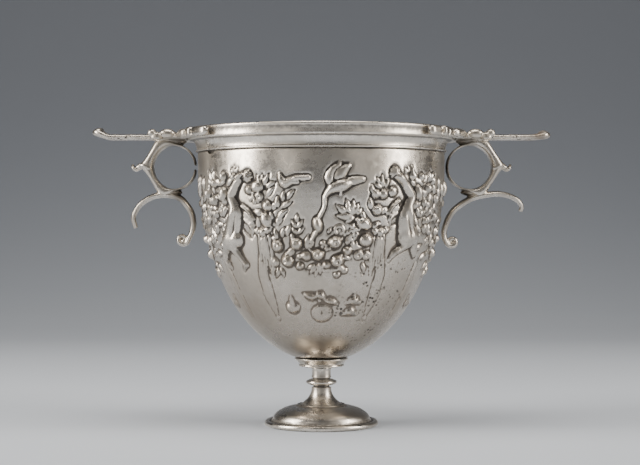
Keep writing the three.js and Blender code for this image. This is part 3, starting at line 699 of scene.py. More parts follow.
def add_ring(points, rings, radius, phi, height):
    """Add a ring of points at the azimuths phi, and note its first index and its count"""
    rings.append((len(points), len(phi)))
    height = np.broadcast_to(height, len(phi))
    points += np.stack([radius * np.sin(phi), -radius * np.cos(phi), height], 1).tolist()


def casing_piece():
    """Closed shell: the carved outside up to the edge, then the plain inside down to its lowest point"""
    azimuths = graded_columns(CASING_COLUMNS)
    frieze = np.arange(length_at(FRIEZE_FOOT), length_at(FRIEZE_HEAD), FRIEZE_STEP)
    below = np.arange(length_at(PLAIN_FOOT), frieze[0] - PLAIN_STEP / 2, PLAIN_STEP)
    bottom = np.arange(2.0, below[0] - PLAIN_STEP, BOTTOM_STEP)
    above = np.linspace(frieze[-1] + PLAIN_STEP, CURVE_S[-1], 9)
    lengths = np.concatenate([bottom, below, frieze, above])
    strides = np.repeat([4, 2, 1, 2], [len(bottom), len(below), len(frieze), len(above)])
    wall = Wall(lengths, azimuths)
    carve(wall)
    soft = eased(wall.height, 1)
    recess = 0.5 + 1.4 * (eased(wall.height, 5) - soft) + 0.42 * (eased(wall.height, 30) - soft)

    radius = np.interp(lengths, CURVE_S, CURVE_R)
    height = np.interp(lengths, CURVE_S, CURVE_Z)
    around, along = azimuths[None, :], lengths[:, None]
    uneven = 0.09 * np.sin(5 * around + 0.09 * along) + 0.06 * np.sin(11 * around - 0.16 * along)
    relief = soft + uneven * smooth(46, 60, height)[:, None]
    out_r = np.interp(lengths, CURVE_S, np.gradient(CURVE_Z, CURVE_S))
    out_z = -np.interp(lengths, CURVE_S, np.gradient(CURVE_R, CURVE_S))
    degrees = np.degrees(azimuths)
    chip = 1.3 * np.exp(-((degrees + 60) / 3.2) ** 4) + 0.25 * np.exp(-((degrees - 21) / 2) ** 2)
    lowered = chip[None, :] * smooth(CASING_TOP - 3, CASING_TOP, height)[:, None]

    points, rings, hollows = [[0, 0, BOWL_FLOOR]], [(0, 1)], [0.5]
    for row, stride in enumerate(strides):
        pick = slice(None, None, int(stride))
        r = radius[row] + out_r[row] * relief[row, pick]
        z = height[row] + out_z[row] * relief[row, pick] - lowered[row, pick]
        add_ring(points, rings, r, azimuths[pick], z)
        hollows += recess[row, pick].tolist()
    for inset, drop in ((0.15, 0), (CASING_WALL - 0.1, 0), (CASING_WALL, 0.15)):
        add_ring(points, rings, BOWL_RADIUS - inset, azimuths[::2], CASING_TOP - lowered[-1, ::2] - drop)
    for share, stride in ((0.0, 4), (0.2, 8), (0.4, 8), (0.6, 8), (0.8, 8), (0.93, 8)):
        level = math.cos((1 - share) * math.pi / 2)
        r = (BOWL_RADIUS - CASING_WALL) * math.sqrt(1 - level ** BOWL_FULLNESS)
        add_ring(points, rings, r, azimuths[::stride], SHOULDER - (BOWL_DEPTH - CASING_WALL) * level)
    rings.append((len(points), 1))
    points.append([0, 0, BOWL_FLOOR + CASING_WALL])
    piece = new_piece("casing", "relief_casing", points, ring_faces(rings))
    hollows += [0.5] * (len(points) - len(hollows))
    store(piece.data, hollows)
    return piece


def store(mesh, hollows):
    """Keep the depth of each vertex, from 0 on ridges to 1 in hollows, as the attribute recess"""
    layer = mesh.attributes.new("recess", "FLOAT", "POINT")
    layer.data.foreach_set("value", np.clip(hollows, 0, 1).astype(np.float32))


def arc(centre, radius, start, end, steps):
    """Points of an arc in the profile plane, in degrees from outwards to up"""
    turns = np.radians(np.linspace(start, end, steps))
    return [(centre[0] + radius * math.cos(t), centre[1] + radius * math.sin(t)) for t in turns]


def turned_piece(name, node, profile, columns, wander):
    """Surface turned about Z from a profile that starts and ends on the axis; wander is a slow unevenness"""
    phi = np.linspace(0, 2 * math.pi, columns, endpoint=False)
    points, rings = [], []
    for r, z in profile:
        if r <= 1e-6:
            rings.append((len(points), 1))
            points.append([0, 0, z])
        else:
            push = wander * (np.sin(3 * phi + 0.05 * z) + 0.5 * np.sin(7 * phi - 0.11 * z)) * min(1, r / 30)
            add_ring(points, rings, r + push, phi, z)
    return new_piece(name, node, points, ring_faces(rings))


def bowl_profile(inset, top, rows):
    """The bowl's curve moved inwards, from the axis up to a height"""
    share = np.cos(np.linspace(0, math.pi / 2, rows))
    radius = (BOWL_RADIUS - inset) * np.sqrt(1 - share ** BOWL_FULLNESS)
    height = SHOULDER - (BOWL_DEPTH - inset) * share
    return [(r, z) for r, z in zip(radius, height) if z < top]


def liner_piece():
    """Inner bowl with a beaded hollow moulding and a broad rounded lip"""
    outer_inset = CASING_WALL + JOINT_GAP
    inner_inset = outer_inset + LINER_WALL
    moulding_foot = CASING_TOP + JOINT_GAP
    widening = MOULDING_HEAD_RADIUS - MOULDING_FOOT_RADIUS
    bead_top = moulding_foot + 0.9
    lip = LIP_RADIUS
    profile = bowl_profile(outer_inset, moulding_foot - 1, 30)
    profile += [(BOWL_RADIUS - outer_inset, moulding_foot)]
    # Bead and hollow moulding
    profile += arc((MOULDING_FOOT_RADIUS - 0.3, moulding_foot + 0.45), 0.45, -90, 70, 8)
    profile += [(MOULDING_FOOT_RADIUS + widening * t ** 2.4 - 0.25, bead_top + (LIP_FOOT - bead_top) * t)
                for t in np.linspace(0, 1, 12)]
    # Broad rounded lip, flaring from the bowl inside
    profile += arc((lip - 1.0, LIP_FOOT + 0.75), 0.75, -90, -10, 6)
    profile += [(lip - 0.3, LIP_FOOT + 1.2), (lip - 0.32, RIM_TOP - 1.7)]
    profile += arc((lip - 0.75, RIM_TOP - 0.8), 0.75, -20, 90, 8)
    profile += [(lip - 1.6, RIM_TOP - 0.12), (lip - LIP_THICKNESS + 0.7, RIM_TOP - 0.15)]
    profile += arc((lip - LIP_THICKNESS + 0.6, RIM_TOP - 0.75), 0.6, 100, 180, 6)
    flare_foot = BOWL_RADIUS - inner_inset
    profile += [(flare_foot + (lip - LIP_THICKNESS - flare_foot) * (1 - t) ** 1.7, RIM_TOP - 1.2 - 9 * t)
                for t in np.linspace(0.1, 1, 12)]
    profile += reversed(bowl_profile(inner_inset, SHOULDER - 1, 34))
    return turned_piece("liner_bowl", "liner", profile, 224, 0.1)


def foot_piece():
    """Turned foot: beaded edge, domed plate, flared stem, knop, neck and the collar that seats the bowl"""
    flare_top = DOME_TOP + FLARE_HEIGHT
    knop_foot = flare_top + 0.7
    knop_mid = knop_foot + KNOP_HEIGHT / 2
    knop_top = knop_foot + KNOP_HEIGHT
    neck_top = knop_top + NECK_HEIGHT
    collar_foot = neck_top + 0.6
    seat = [(r, z) for r, z in bowl_profile(-JOINT_GAP, RIM_TOP, 60) if r < COLLAR_RADIUS - 0.4]
    seat_top = seat[-1][1]

    # Hollow underside and standing ring
    profile = [(0, 15.0), (2.0, 14.4), (3.6, 11.2), (6.0, 8.6), (10.0, 7.0), (14.4, 6.1), (18.0, 3.6)]
    profile += [(20.2, 1.6), (20.5, 0.0), (22.9, 0.0)]
    # Beaded edge and the groove inside it
    profile += arc((FOOT_RADIUS - 1.15, 1.2), 1.15, -60, 75, 12)
    profile += [(22.2, 2.2), (21.9, 1.85), (21.4, 1.85), (20.9, 2.5)]
    # Dome, a small bead on it, and the flared stem
    profile += [(10.4 + 10.1 * math.cos(t) ** 1.2, 2.8 + 5.6 * math.sin(t) ** 1.05)
                for t in np.linspace(0.05, math.pi / 2, 22)]
    profile += arc((10.0, 8.65), 0.42, 60, 150, 5)
    profile += [(STEM_RADIUS + 5.0 * (1 - t) ** 2.3, DOME_TOP + 0.2 + 7.3 * t)
                for t in np.linspace(0.02, 1, 20)]
    # Knop between two grooves
    profile += [(STEM_RADIUS - 0.7, flare_top + 0.05), (STEM_RADIUS - 0.75, flare_top + 0.6)]
    profile += [(STEM_RADIUS + 0.3, knop_foot + 0.05), (STEM_RADIUS + 0.9, knop_foot + 0.15)]
    profile += [(KNOP_RADIUS - 0.9, knop_mid - 0.75)]
    profile += [(KNOP_RADIUS - 0.8 + 0.8 * math.cos(t), knop_mid + 0.75 * math.sin(t))
                for t in np.linspace(-1.2, 1.2, 12)]
    profile += [(KNOP_RADIUS - 0.9, knop_mid + 0.75), (STEM_RADIUS + 0.9, knop_top - 0.15)]
    profile += [(STEM_RADIUS - 0.5, knop_top + 0.05), (STEM_RADIUS - 0.5, knop_top + 0.4)]
    # Neck, waisted a little
    profile += [(STEM_RADIUS - 0.12 + 0.4 * (2 * t - 1) ** 4, knop_top + 0.5 + (NECK_HEIGHT - 0.6) * t)
                for t in np.linspace(0.04, 1, 12)]
    profile += [(STEM_RADIUS - 0.5, neck_top + 0.1), (STEM_RADIUS - 0.5, collar_foot - 0.1)]
    # Collar and the hollow that seats the bowl
    profile += [(COLLAR_FOOT_RADIUS - 0.5, collar_foot)]
    profile += arc((COLLAR_FOOT_RADIUS - 0.15, collar_foot + 0.4), 0.4, -80, 60, 7)
    profile += [(COLLAR_FOOT_RADIUS - 0.05 + (COLLAR_RADIUS - 0.3 - COLLAR_FOOT_RADIUS) * t ** 1.1,
                 collar_foot + 0.85 + (seat_top - collar_foot - 1.1) * t) for t in np.linspace(0, 1, 9)]
    profile += arc((COLLAR_RADIUS - 0.5, seat_top - 0.05), 0.25, -30, 120, 5)
    profile += reversed(seat)
    return turned_piece("foot_turned", "foot", profile, 192, 0.03)


def superellipse(steps, exponent):
    """Unit section: (sign cos |cos|^(2/e), sign sin |sin|^(2/e))"""
    t = np.linspace(0, 2 * math.pi, steps, endpoint=False)
    c, s = np.cos(t), np.sin(t)
    return np.stack([np.sign(c) * np.abs(c) ** (2 / exponent), np.sign(s) * np.abs(s) ** (2 / exponent)], 1)


def sweep(path, side, half_across, half_along, exponent=2.5, steps=24):
    """Closed bar along a path, with its section across the path, between the path's normal and its side"""
    path = np.asarray(path, float)
    tangent = np.gradient(path, axis=0)
    tangent /= np.linalg.norm(tangent, axis=1, keepdims=True)
    side = np.broadcast_to(np.asarray(side, float), path.shape)
    side = side - tangent * np.sum(side * tangent, 1, keepdims=True)
    side = side / np.linalg.norm(side, axis=1, keepdims=True)
    normal = np.cross(tangent, side)
    across = np.broadcast_to(half_across, len(path))
    along = np.broadcast_to(half_along, len(path))
    unit = superellipse(steps, exponent)
    points = path[:, None] + normal[:, None] * (unit[None, :, :1] * across[:, None, None]) \
        + side[:, None] * (unit[None, :, 1:] * along[:, None, None])
    points = points.reshape(-1, 3)
    ends = len(points)
    points = np.concatenate([points, path[:1], path[-1:]])
    i, j = np.meshgrid(np.arange(len(path) - 1), np.arange(steps), indexing="ij")
    k = (j + 1) % steps
    here, there = i * steps, (i + 1) * steps
    quads = np.stack([here + j, here + k, there + k, there + j], -1).reshape(-1, 4)
    last = (len(path) - 1) * steps
    caps = [[ends, (a + 1) % steps, a] for a in range(steps)]
    caps += [[ends + 1, last + a, last + (a + 1) % steps] for a in range(steps)]
    return points, quads.tolist() + caps


def ellipsoid(centre, sizes, lean=0.0):
    """Ellipsoid with half sizes, leaned about Y by degrees"""
    t = np.linspace(-math.pi / 2 * 0.97, math.pi / 2 * 0.97, 15)
    path = np.stack([np.sin(t), np.zeros_like(t), np.zeros_like(t)], 1)
    points, faces = sweep(path, (0, 1, 0), np.cos(t), np.cos(t), 2, 20)
    points = points * np.asarray(sizes)
    c, s = math.cos(math.radians(lean)), math.sin(math.radians(lean))
    points = points @ np.array([[c, 0, -s], [0, 1, 0], [s, 0, c]]).T
    return points + np.asarray(centre), faces


def smooth_path(points, steps):
    """Catmull-Rom curve through points, at even shares of its length"""
    p = np.asarray(points, float)
    p = np.concatenate([[2 * p[0] - p[1]], p, [2 * p[-1] - p[-2]]])
    t = np.linspace(0, 1, 12, endpoint=False)[:, None]
    curve = []
    for a, b, c, d in zip(p[:-3], p[1:-2], p[2:-1], p[3:]):
        curve.append(0.5 * (2 * b + (c - a) * t + (2 * a - 5 * b + 4 * c - d) * t ** 2
                            + (3 * b - a - 3 * c + d) * t ** 3))
    curve = np.concatenate(curve + [p[-2:-1]])
    length = np.concatenate([[0], np.cumsum(np.linalg.norm(np.diff(curve, axis=0), axis=1))])
    want = np.linspace(0, length[-1], steps)
    return np.stack([np.interp(want, length, curve[:, k]) for k in range(curve.shape[1])], 1)


def spiral(centre, start_radius, end_radius, start, turns, steps):
    """Flat spiral about a centre, in degrees and turns"""
    t = np.linspace(0, 1, steps)
    angle = math.radians(start) + 2 * math.pi * turns * t
    radius = start_radius + (end_radius - start_radius) * t
    return centre[0] + radius * np.cos(angle), centre[1] + radius * np.sin(angle)


def lip_roll(side, start, end, radial, half_height):
    """Rounded block that follows the lip between two directions, in degrees from the handle's middle"""
    steps = 16
    share = np.linspace(0, 1, steps)
    turn = np.radians(start + (end - start) * share)
    swell = np.maximum(0.12, (1 - (2 * share - 1) ** 6)) ** 0.5
    reach = CLASP_RADIUS + 0.2 + radial
    height = np.full(steps, LIP_FOOT + 0.3 + half_height)
    path = np.stack([reach * np.cos(turn), side * reach * np.sin(turn), height], 1)
    return sweep(path, (0, 0, 1), radial * swell, half_height * swell, 2.6, 24)


# Blocks of each clasp arm: start and end in degrees, half thickness and half height
RIGHT_BLOCKS = [
    (3, 41, 1.1, 0.9), (8, 24.3, 2.1, 2.0), (25.3, 30, 1.4, 1.8), (31.3, 34.9, 1.8, 2.15),
    (36.4, 43.4, 1.8, 2.1),
]
LEFT_BLOCKS = [(3, 37, 1.1, 0.9), (8, 20.2, 2.0, 2.0), (21.6, 26.9, 1.7, 2.15), (28.3, 39.4, 1.8, 2.1)]


def thumb_plate(tip_rise, blocks):
    """Tongue with a spoon-like end, shoulders, scrolls, and arms along the lip that end in birds' heads.

    Its places along X are in millimetres from the cup's axis.
    """
    shells = []
    mid = PLATE_FOOT + PLATE_THICKNESS / 2
    top = PLATE_FOOT + PLATE_THICKNESS
    tip = PLATE_REACH - 0.2
    x = np.concatenate([np.linspace(CLASP_RADIUS - 0.2, tip - 8, 40), np.linspace(tip - 7.7, tip, 26)])
    rise = tip_rise * smooth(tip - 8, tip - 1, x)
    path = np.stack([x, 0 * x, mid + 0.2 + rise], 1)
    flare = PLATE_FLARE * np.exp(-((x - CLASP_RADIUS) / PLATE_FLARE_REACH) ** 2)
    width = TONGUE_WIDTH / 2 * (1 - 0.18 * smooth(66, 80, x) + 0.1 * smooth(82, 90, x)) + flare
    width = width * np.sqrt(np.clip(1 - np.clip((x - (tip - 3.6)) / 3.9, 0, 1) ** 2, 0.05, 1))
    thick = PLATE_THICKNESS / 2 * (1.15 + 0.25 * smooth(tip - 7, tip - 3, x))
    thick = thick * (1 - 0.4 * smooth(tip - 1.6, tip, x))
    shells.append(sweep(path, (0, 1, 0), thick, width, 2.6, 36))
    shells.append(ellipsoid((tip - 2.4, 0, mid + tip_rise + 1.0), (2.3, 4.1, 1.2), -12))
    for i in range(3):
        shells.append(ellipsoid((75 + 5.2 * i, 0, top), (3.2, 1.5 - 0.2 * i, 0.45)))
    shells.append(ellipsoid((66.5, 0, top), (4.6, 2.2, 1.0)))
    for side in (-1, 1):
        sx, sy = spiral((68.4, 8.2), 3.0, 0.7, -110, 1.5, 40)
        scroll = np.stack([sx, side * sy, np.full(len(sx), mid + 0.2)], 1)
        shells.append(sweep(scroll, (0, 0, 1), 0.75, 1.4, 2.5))
        shells.append(ellipsoid((64.3, side * 8.6, top + 0.2), (3.4, 2.2, 2.1)))
        shells.append(ellipsoid((70.6, side * 8.9, top + 0.5), (1.9, 1.9, 1.7)))
        for start, end, radial, half_height in blocks:
            shells.append(lip_roll(side, start, end, radial, half_height))
    return shells


def finger_ring(broken):
    """Band round a bore, with two straight outer faces; a broken ring stops short at the bowl.

    A straight face stands at distance / cos(angle - its own direction) from the ring's middle.
    """
    gap = 5.2 if broken else 0.0
    psi = np.radians(np.linspace(180 + gap, 540 - gap, 160))
    inner = RING_BORE / 2 - (0.9 if broken else 0.0) * np.maximum(0, np.cos(psi))
    outward = np.degrees((psi + math.pi) % (2 * math.pi) - math.pi)
    tilt = np.radians(np.clip(outward, -70, 70))
    lean = math.radians(RING_FACE_TURN)
    upper = RING_UPPER_FACE / np.maximum(0.3, np.cos(tilt - lean))
    lower = RING_LOWER_FACE / np.maximum(0.3, np.cos(tilt + lean))
    thin = smooth(52, 100, np.abs(outward))
    outer = np.minimum(upper, lower) * (1 - thin) + (RING_BORE / 2 + RING_WALL) * thin
    half = RING_WIDTH / 2
    if broken:
        outer = outer - 0.7 * np.maximum(0, np.cos(psi))
        ends = np.minimum(psi - psi[0], psi[-1] - psi)
        outer = outer - 0.35 * np.exp(-ends / 0.12)
        half = half * (1 - 0.18 * np.exp(-ends / 0.06))
    middle = (inner + outer) / 2
    path = np.stack([RING_X + middle * np.cos(psi), 0 * psi, RING_Z + middle * np.sin(psi)], 1)
    shells = [sweep(path, (0, 1, 0), (outer - inner) / 2, half, 2.7, 36)]
    shells.append(ellipsoid((RING_X + 0.6, 0, PLATE_FOOT - 0.5), (6.4, RING_WIDTH / 2 - 0.3, 1.8)))
    shells.append(ellipsoid((RING_X + 1.6, 0, RING_Z - RING_BORE / 2 - 1.9), (5.4, 3.5, 1.4), -4))
    return shells


def spur():
    """Thorn on the ring: a leaf laid over its face, a crest, a dip and an upturned end"""
    route = [(9.4, -0.5), (11.0, 0.0), (12.4, 0.7), (13.7, 0.7), (14.9, -0.2), (15.9, -0.9), (16.9, -0.2),
             (17.3, 1.4)]
    path = smooth_path([(RING_X + x, 0, RING_Z + z) for x, z in route], 44)
    t = np.linspace(0, 1, len(path))
    along = 4.5 - 2.3 * smooth(0.3, 0.62, t) - 1.2 * smooth(0.86, 1, t)
    along = along + 0.5 * np.exp(-((t - 0.8) / 0.12) ** 2)
    across = 0.75 + 0.55 * np.exp(-((t - 0.5) / 0.22) ** 2) - 0.2 * smooth(0.8, 1, t)
    return [sweep(path, (0, 1, 0), across, along, 2.4)]


# Crescent finger rests in the X Z plane, in millimetres from the ring's centre, tip first
OPEN_CRESCENT = [
    (21.6, -18.6), (22.1, -16.4), (20.4, -13.9), (16.9, -12.0), (12.1, -11.1), (6.9, -11.6), (0.9, -13.1),
    (-5.3, -16.9), (-8.3, -20.5), (-10.1, -24.7), (-10.7, -27.5), (-10.3, -30.3), (-9.1, -32.4),
]
OPEN_CURL = (-7.3, -31.3)
BENT_CRESCENT = [
    (15.9, -25.6), (16.9, -21.5), (15.9, -18.3), (13.2, -14.9), (8.3, -12.2), (2.6, -11.6), (-2.5, -12.9),
    (-5.0, -15.1), (-7.4, -18.7), (-8.4, -23.1), (-7.8, -27.1), (-6.4, -30.2),
]
BENT_CURL = (-3.9, -30.3)


def crescent(points, curl):
    """Finger rest: a lens-shaped blade that tapers to its tip and rolls up in a curl at its foot"""
    route = [(RING_X + x, 0, RING_Z + z) for x, z in points]
    centre = (RING_X + curl[0], RING_Z + curl[1])
    last = (route[-1][0] - centre[0], route[-1][2] - centre[1])
    start = math.degrees(math.atan2(last[1], last[0]))
    cx, cz = spiral(centre, math.hypot(*last), 0.8, start, 1.2, 11)
    route += [(a, 0, b) for a, b in zip(cx, cz)][1:]
    path = smooth_path(route, 130)
    t = np.linspace(0, 1, len(path))
    swell = np.clip(np.sin(math.pi * np.clip(t * 0.9 + 0.08, 0, 1)), 0, 1) ** 0.6
    along = CRESCENT_WIDTH / 2 * (0.22 + 0.78 * swell) * (1 - 0.35 * smooth(0.6, 0.85, t))
    along = along * (0.3 + 0.7 * smooth(-0.02, 0.1, t))
    across = CRESCENT_THICKNESS / 2 * (0.45 + 0.6 * swell)
    shells = [sweep(path, (0, 1, 0), across, along, 2.1, 28)]
    shells.append(ellipsoid(path[-1], (1.0, 1.6, 1.0)))
    return shells


def cast_piece(name, node, shells, flip):
    """Shells melted into one cast surface by a voxel remesh, then eased"""
    points, faces = [], []
    for shell_points, shell_faces in shells:
        base = len(points)
        points += (shell_points * (flip, flip, 1)).tolist()
        faces += [[base + i for i in face] for face in shell_faces]
    piece = new_piece(name, node, points, faces)
    melt = piece.modifiers.new("melt", "REMESH")
    melt.mode = "VOXEL"
    melt.voxel_size = CAST_VOXEL * MM
    melt.use_smooth_shade = True
    ease = piece.modifiers.new("ease", "SMOOTH")
    ease.factor = 0.5
    ease.iterations = 3
    melted = bpy.data.meshes.new_from_object(piece.evaluated_get(bpy.context.evaluated_depsgraph_get()))
    piece.modifiers.clear()
    piece.data = melted
    shade_smooth(melted)
    return piece


def store_recess(piece, rounds, scale):
    """Store how far each vertex lies below the mean of its neighbourhood, as a share of scale"""
    mesh = piece.data
    count = len(mesh.vertices)
    at = np.empty(count * 3)
    mesh.vertices.foreach_get("co", at)
    at = at.reshape(-1, 3)
    normal = np.empty(count * 3)
    mesh.vertex_normals.foreach_get("vector", normal)
    normal = normal.reshape(-1, 3)
    ends = np.empty(len(mesh.edges) * 2, int)
    mesh.edges.foreach_get("vertices", ends)
    a, b = ends[::2], ends[1::2]
    degree = np.bincount(ends, minlength=count)
    mean = at.copy()
    for _ in range(rounds):
        total = np.stack([np.bincount(a, mean[b, k], count) + np.bincount(b, mean[a, k], count)
                          for k in range(3)], 1)
        mean = 0.3 * mean + 0.7 * total / degree[:, None]
    depth = np.sum((mean - at) * normal, 1) / (scale * MM)
    store(mesh, 0.5 + 0.5 * depth)


# Kinds of shader socket
FLOAT = "NodeSocketFloat"
COLOUR = "NodeSocketColor"
VECTOR = "NodeSocketVector"

# Colours of the metal
SILVER_PALE = (0.79, 0.735, 0.66, 1)
SILVER_GREY = (0.62, 0.57, 0.495, 1)
SPECK = (0.36, 0.34, 0.32, 1)
# Near-black of the tarnish in hollows, also used for painted shade
TARNISH_AND_PAINTED_SHADE = (0.055, 0.048, 0.042, 1)
BROWN_STAIN = (0.16, 0.105, 0.065, 1)
# Browner, darker tone towards the bottom of the bowl
BROWN_LOW_TONE = (0.30, 0.25, 0.20, 1)
PIT_BLACK = (0.03, 0.027, 0.024, 1)
# Painted shade of the floor at its sides and up the sweep
FLOOR_PAINTED_SHADE = (0.03, 0.03, 0.035, 1)


class Nodes:
    """Short way to add and join shader nodes in one tree"""

    def __init__(self, tree):
        self.tree = tree

    def feed(self, socket, value):
        """Join an output to an input, or set the input to a plain value"""
        if isinstance(value, bpy.types.NodeSocket):
            self.tree.links.new(value, socket)
        else:
            socket.default_value = value

    def add(self, kind, inputs=(), **settings):
        """Node with its settings, and with its inputs by name or number"""
        node = self.tree.nodes.new(kind)
        for key, value in settings.items():
            setattr(node, key, value)
        for key, value in dict(inputs).items():
            self.feed(node.inputs[key], value)
        return node

    def math(self, operation, a, b=0.0, clamp=False):
        return self.add("ShaderNodeMath", {0: a, 1: b}, operation=operation, use_clamp=clamp).outputs[0]

    def times(self, a, b, clamp=False):
        return self.math("MULTIPLY", a, b, clamp)

    def plus(self, a, b, clamp=False):
        return self.math("ADD", a, b, clamp)

    def minus(self, a, b, clamp=False):
        return self.math("SUBTRACT", a, b, clamp)

    def ramp(self, value, low, high):
        """0 at low, 1 at high, eased between"""
        inputs = {"Value": value, "From Min": low, "From Max": high}
        return self.add("ShaderNodeMapRange", inputs, interpolation_type="SMOOTHSTEP").outputs["Result"]

    def noise(self, vector, scale, detail=3.0, roughness=0.55):
        inputs = {"Vector": vector, "Scale": scale, "Detail": detail, "Roughness": roughness}
        return self.add("ShaderNodeTexNoise", inputs).outputs["Fac"]

    def mix(self, factor, first, second):
        return self.add("ShaderNodeMix", {0: factor, 6: first, 7: second}, data_type="RGBA").outputs[2]

    def part(self, vector, axis):
        """One of the X, Y and Z of a vector"""
        return self.add("ShaderNodeSeparateXYZ", {"Vector": vector}).outputs[axis]


def new_group(name, inputs, outputs):
    """Empty shader group with named float, colour or vector sockets"""
    group = bpy.data.node_groups.new(name, "ShaderNodeTree")
    for direction, sockets in (("INPUT", inputs), ("OUTPUT", outputs)):
        for label, kind in sockets.items():
            group.interface.new_socket(label, in_out=direction, socket_type=kind)
    nodes = Nodes(group)
    return group, nodes, nodes.add("NodeGroupInput").outputs, nodes.add("NodeGroupOutput").inputs




def silver_group():
    """Old silver: cloudy clean metal, dark tarnish in hollows, brown stains and painted shade at given spots;
    colour, roughness and metal
    """
    group, nodes, into, out = new_group(
        "old_silver",
        {"Position": VECTOR, "Recess": FLOAT, "Stain": FLOAT, "PaintedShade": FLOAT, "Brightness": FLOAT,
         "Tarnish": FLOAT},
        {"Color": COLOUR, "Roughness": FLOAT, "Metal": FLOAT})
    place = into["Position"]
    clouds = nodes.ramp(nodes.noise(place, 55, 4), 0.3, 0.7)
    specks = nodes.ramp(nodes.noise(place, 420, 3, 0.65), 0.35, 0.7)
    clean = nodes.mix(clouds, SILVER_PALE, SILVER_GREY)
    clean = nodes.mix(nodes.times(specks, 0.22), clean, SPECK)
    hollow = nodes.plus(into["Recess"], nodes.times(nodes.minus(specks, 0.5), 0.12))
    tarnish_and_shade = nodes.times(nodes.ramp(hollow, 0.55, 0.8), into["Tarnish"], True)
    # Painted shade: given spots darken towards the same near-black, rougher and less metallic
    tarnish_and_shade = nodes.math("MAXIMUM", tarnish_and_shade, nodes.times(into["PaintedShade"], 0.93))
    blotch = nodes.times(nodes.ramp(nodes.noise(place, 160, 4, 0.6), 0.36, 0.62), into["Stain"], True)
    coloured = nodes.mix(blotch, nodes.mix(tarnish_and_shade, clean, TARNISH_AND_PAINTED_SHADE), BROWN_STAIN)
    bright = nodes.add("ShaderNodeBrightContrast", {"Color": coloured, "Bright": into["Brightness"]})
    stain_tarnish_and_shade = nodes.math("MAXIMUM", tarnish_and_shade, blotch)
    rough = nodes.plus(nodes.times(clouds, 0.10), nodes.times(specks, 0.08))
    rough = nodes.plus(rough, nodes.times(stain_tarnish_and_shade, 0.12))
    nodes.feed(out["Color"], bright.outputs["Color"])
    nodes.feed(out["Roughness"], nodes.plus(rough, 0.21, True))
    nodes.feed(out["Metal"], nodes.minus(1.0, nodes.times(stain_tarnish_and_shade, 0.5), True))
    return group


def surface_group():
    """Old surface: soft dents, fine scratches and corrosion pits; gives a normal and the pits' mask"""
    group, nodes, into, out = new_group(
        "old_surface",
        {"Position": VECTOR, "Pitting": FLOAT, "Dents": FLOAT},
        {"Normal": VECTOR, "Pits": FLOAT})
    place = into["Position"]
    dents = nodes.times(nodes.noise(place, 130, 2), into["Dents"])
    stretch = nodes.add("ShaderNodeMapping", {"Vector": place, "Scale": (1.0, 1.0, 9.0)})
    scratches = nodes.times(nodes.noise(stretch.outputs["Vector"], 380, 4, 0.7), 0.10)
    cells = nodes.add("ShaderNodeTexVoronoi", {"Vector": place, "Scale": 640}, feature="F1")
    holes = nodes.minus(1.0, nodes.ramp(cells.outputs["Distance"], 0.22, 0.5))
    patchy = nodes.ramp(nodes.noise(place, 210, 3, 0.6), 0.46, 0.64)
    pits = nodes.times(nodes.times(holes, patchy), into["Pitting"], True)
    height = nodes.minus(nodes.plus(dents, scratches), nodes.times(pits, 1.2))
    bump = nodes.add("ShaderNodeBump", {"Strength": 0.5, "Distance": 0.00025, "Height": height})
    nodes.feed(out["Normal"], bump.outputs["Normal"])
    nodes.feed(out["Pits"], pits)
    return group


SILVER = silver_group()
SURFACE = surface_group()


def gathered(nodes, position, start, spots):
    """A mask that rises from start to 1 towards each spot, a centre and a radius in metres"""
    for centre, radius in spots:
        far = nodes.add("ShaderNodeVectorMath", {0: position, 1: centre}, operation="DISTANCE")
        near = nodes.minus(1.0, nodes.ramp(far.outputs["Value"], radius * 0.3, radius))
        start = nodes.plus(near, start, True)
    return start


def silver_material(name, brightness, tarnish, dents, pitting, pit_spots=(), stain_spots=(), painted_shade_spots=(),
                    browner_below=None):
    """Silver whose pits and stains gather round given spots, with painted shade darkening other given spots,
    and browner and darker below a height
    """
    material = bpy.data.materials.new(name)
    material.use_nodes = True
    nodes = Nodes(material.node_tree)
    position = nodes.add("ShaderNodeTexCoord").outputs["Object"]
    silver = nodes.add("ShaderNodeGroup", node_tree=SILVER)
    surface = nodes.add("ShaderNodeGroup", node_tree=SURFACE)
    for node, key, value in (
        (silver, "Position", position),
        (silver, "Recess", nodes.add("ShaderNodeAttribute", attribute_name="recess").outputs["Fac"]),
        (silver, "Brightness", brightness),
        (silver, "Tarnish", tarnish),
        (silver, "Stain", gathered(nodes, position, 0.0, stain_spots)),
        # Painted shade round the given spots
        (silver, "PaintedShade", gathered(nodes, position, 0.0, painted_shade_spots)),
        (surface, "Position", position),
        (surface, "Dents", dents),
        (surface, "Pitting", gathered(nodes, position, pitting, pit_spots)),
    ):
        nodes.feed(node.inputs[key], value)
    pits = surface.outputs["Pits"]
    colour = silver.outputs["Color"]
    # Browner and darker towards the bottom
    if browner_below is not None:
        low = nodes.minus(1.0, nodes.ramp(nodes.part(position, "Z"), *browner_below))
        colour = nodes.mix(nodes.times(low, 0.6), colour, BROWN_LOW_TONE)
    shader = material.node_tree.nodes["Principled BSDF"].inputs
    nodes.feed(shader["Base Color"], nodes.mix(pits, colour, PIT_BLACK))
    nodes.feed(shader["Roughness"], nodes.plus(silver.outputs["Roughness"], nodes.times(pits, 0.4), True))
    nodes.feed(shader["Metallic"], nodes.minus(silver.outputs["Metal"], nodes.times(pits, 0.7), True))
    nodes.feed(shader["Normal"], surface.outputs["Normal"])
    return material


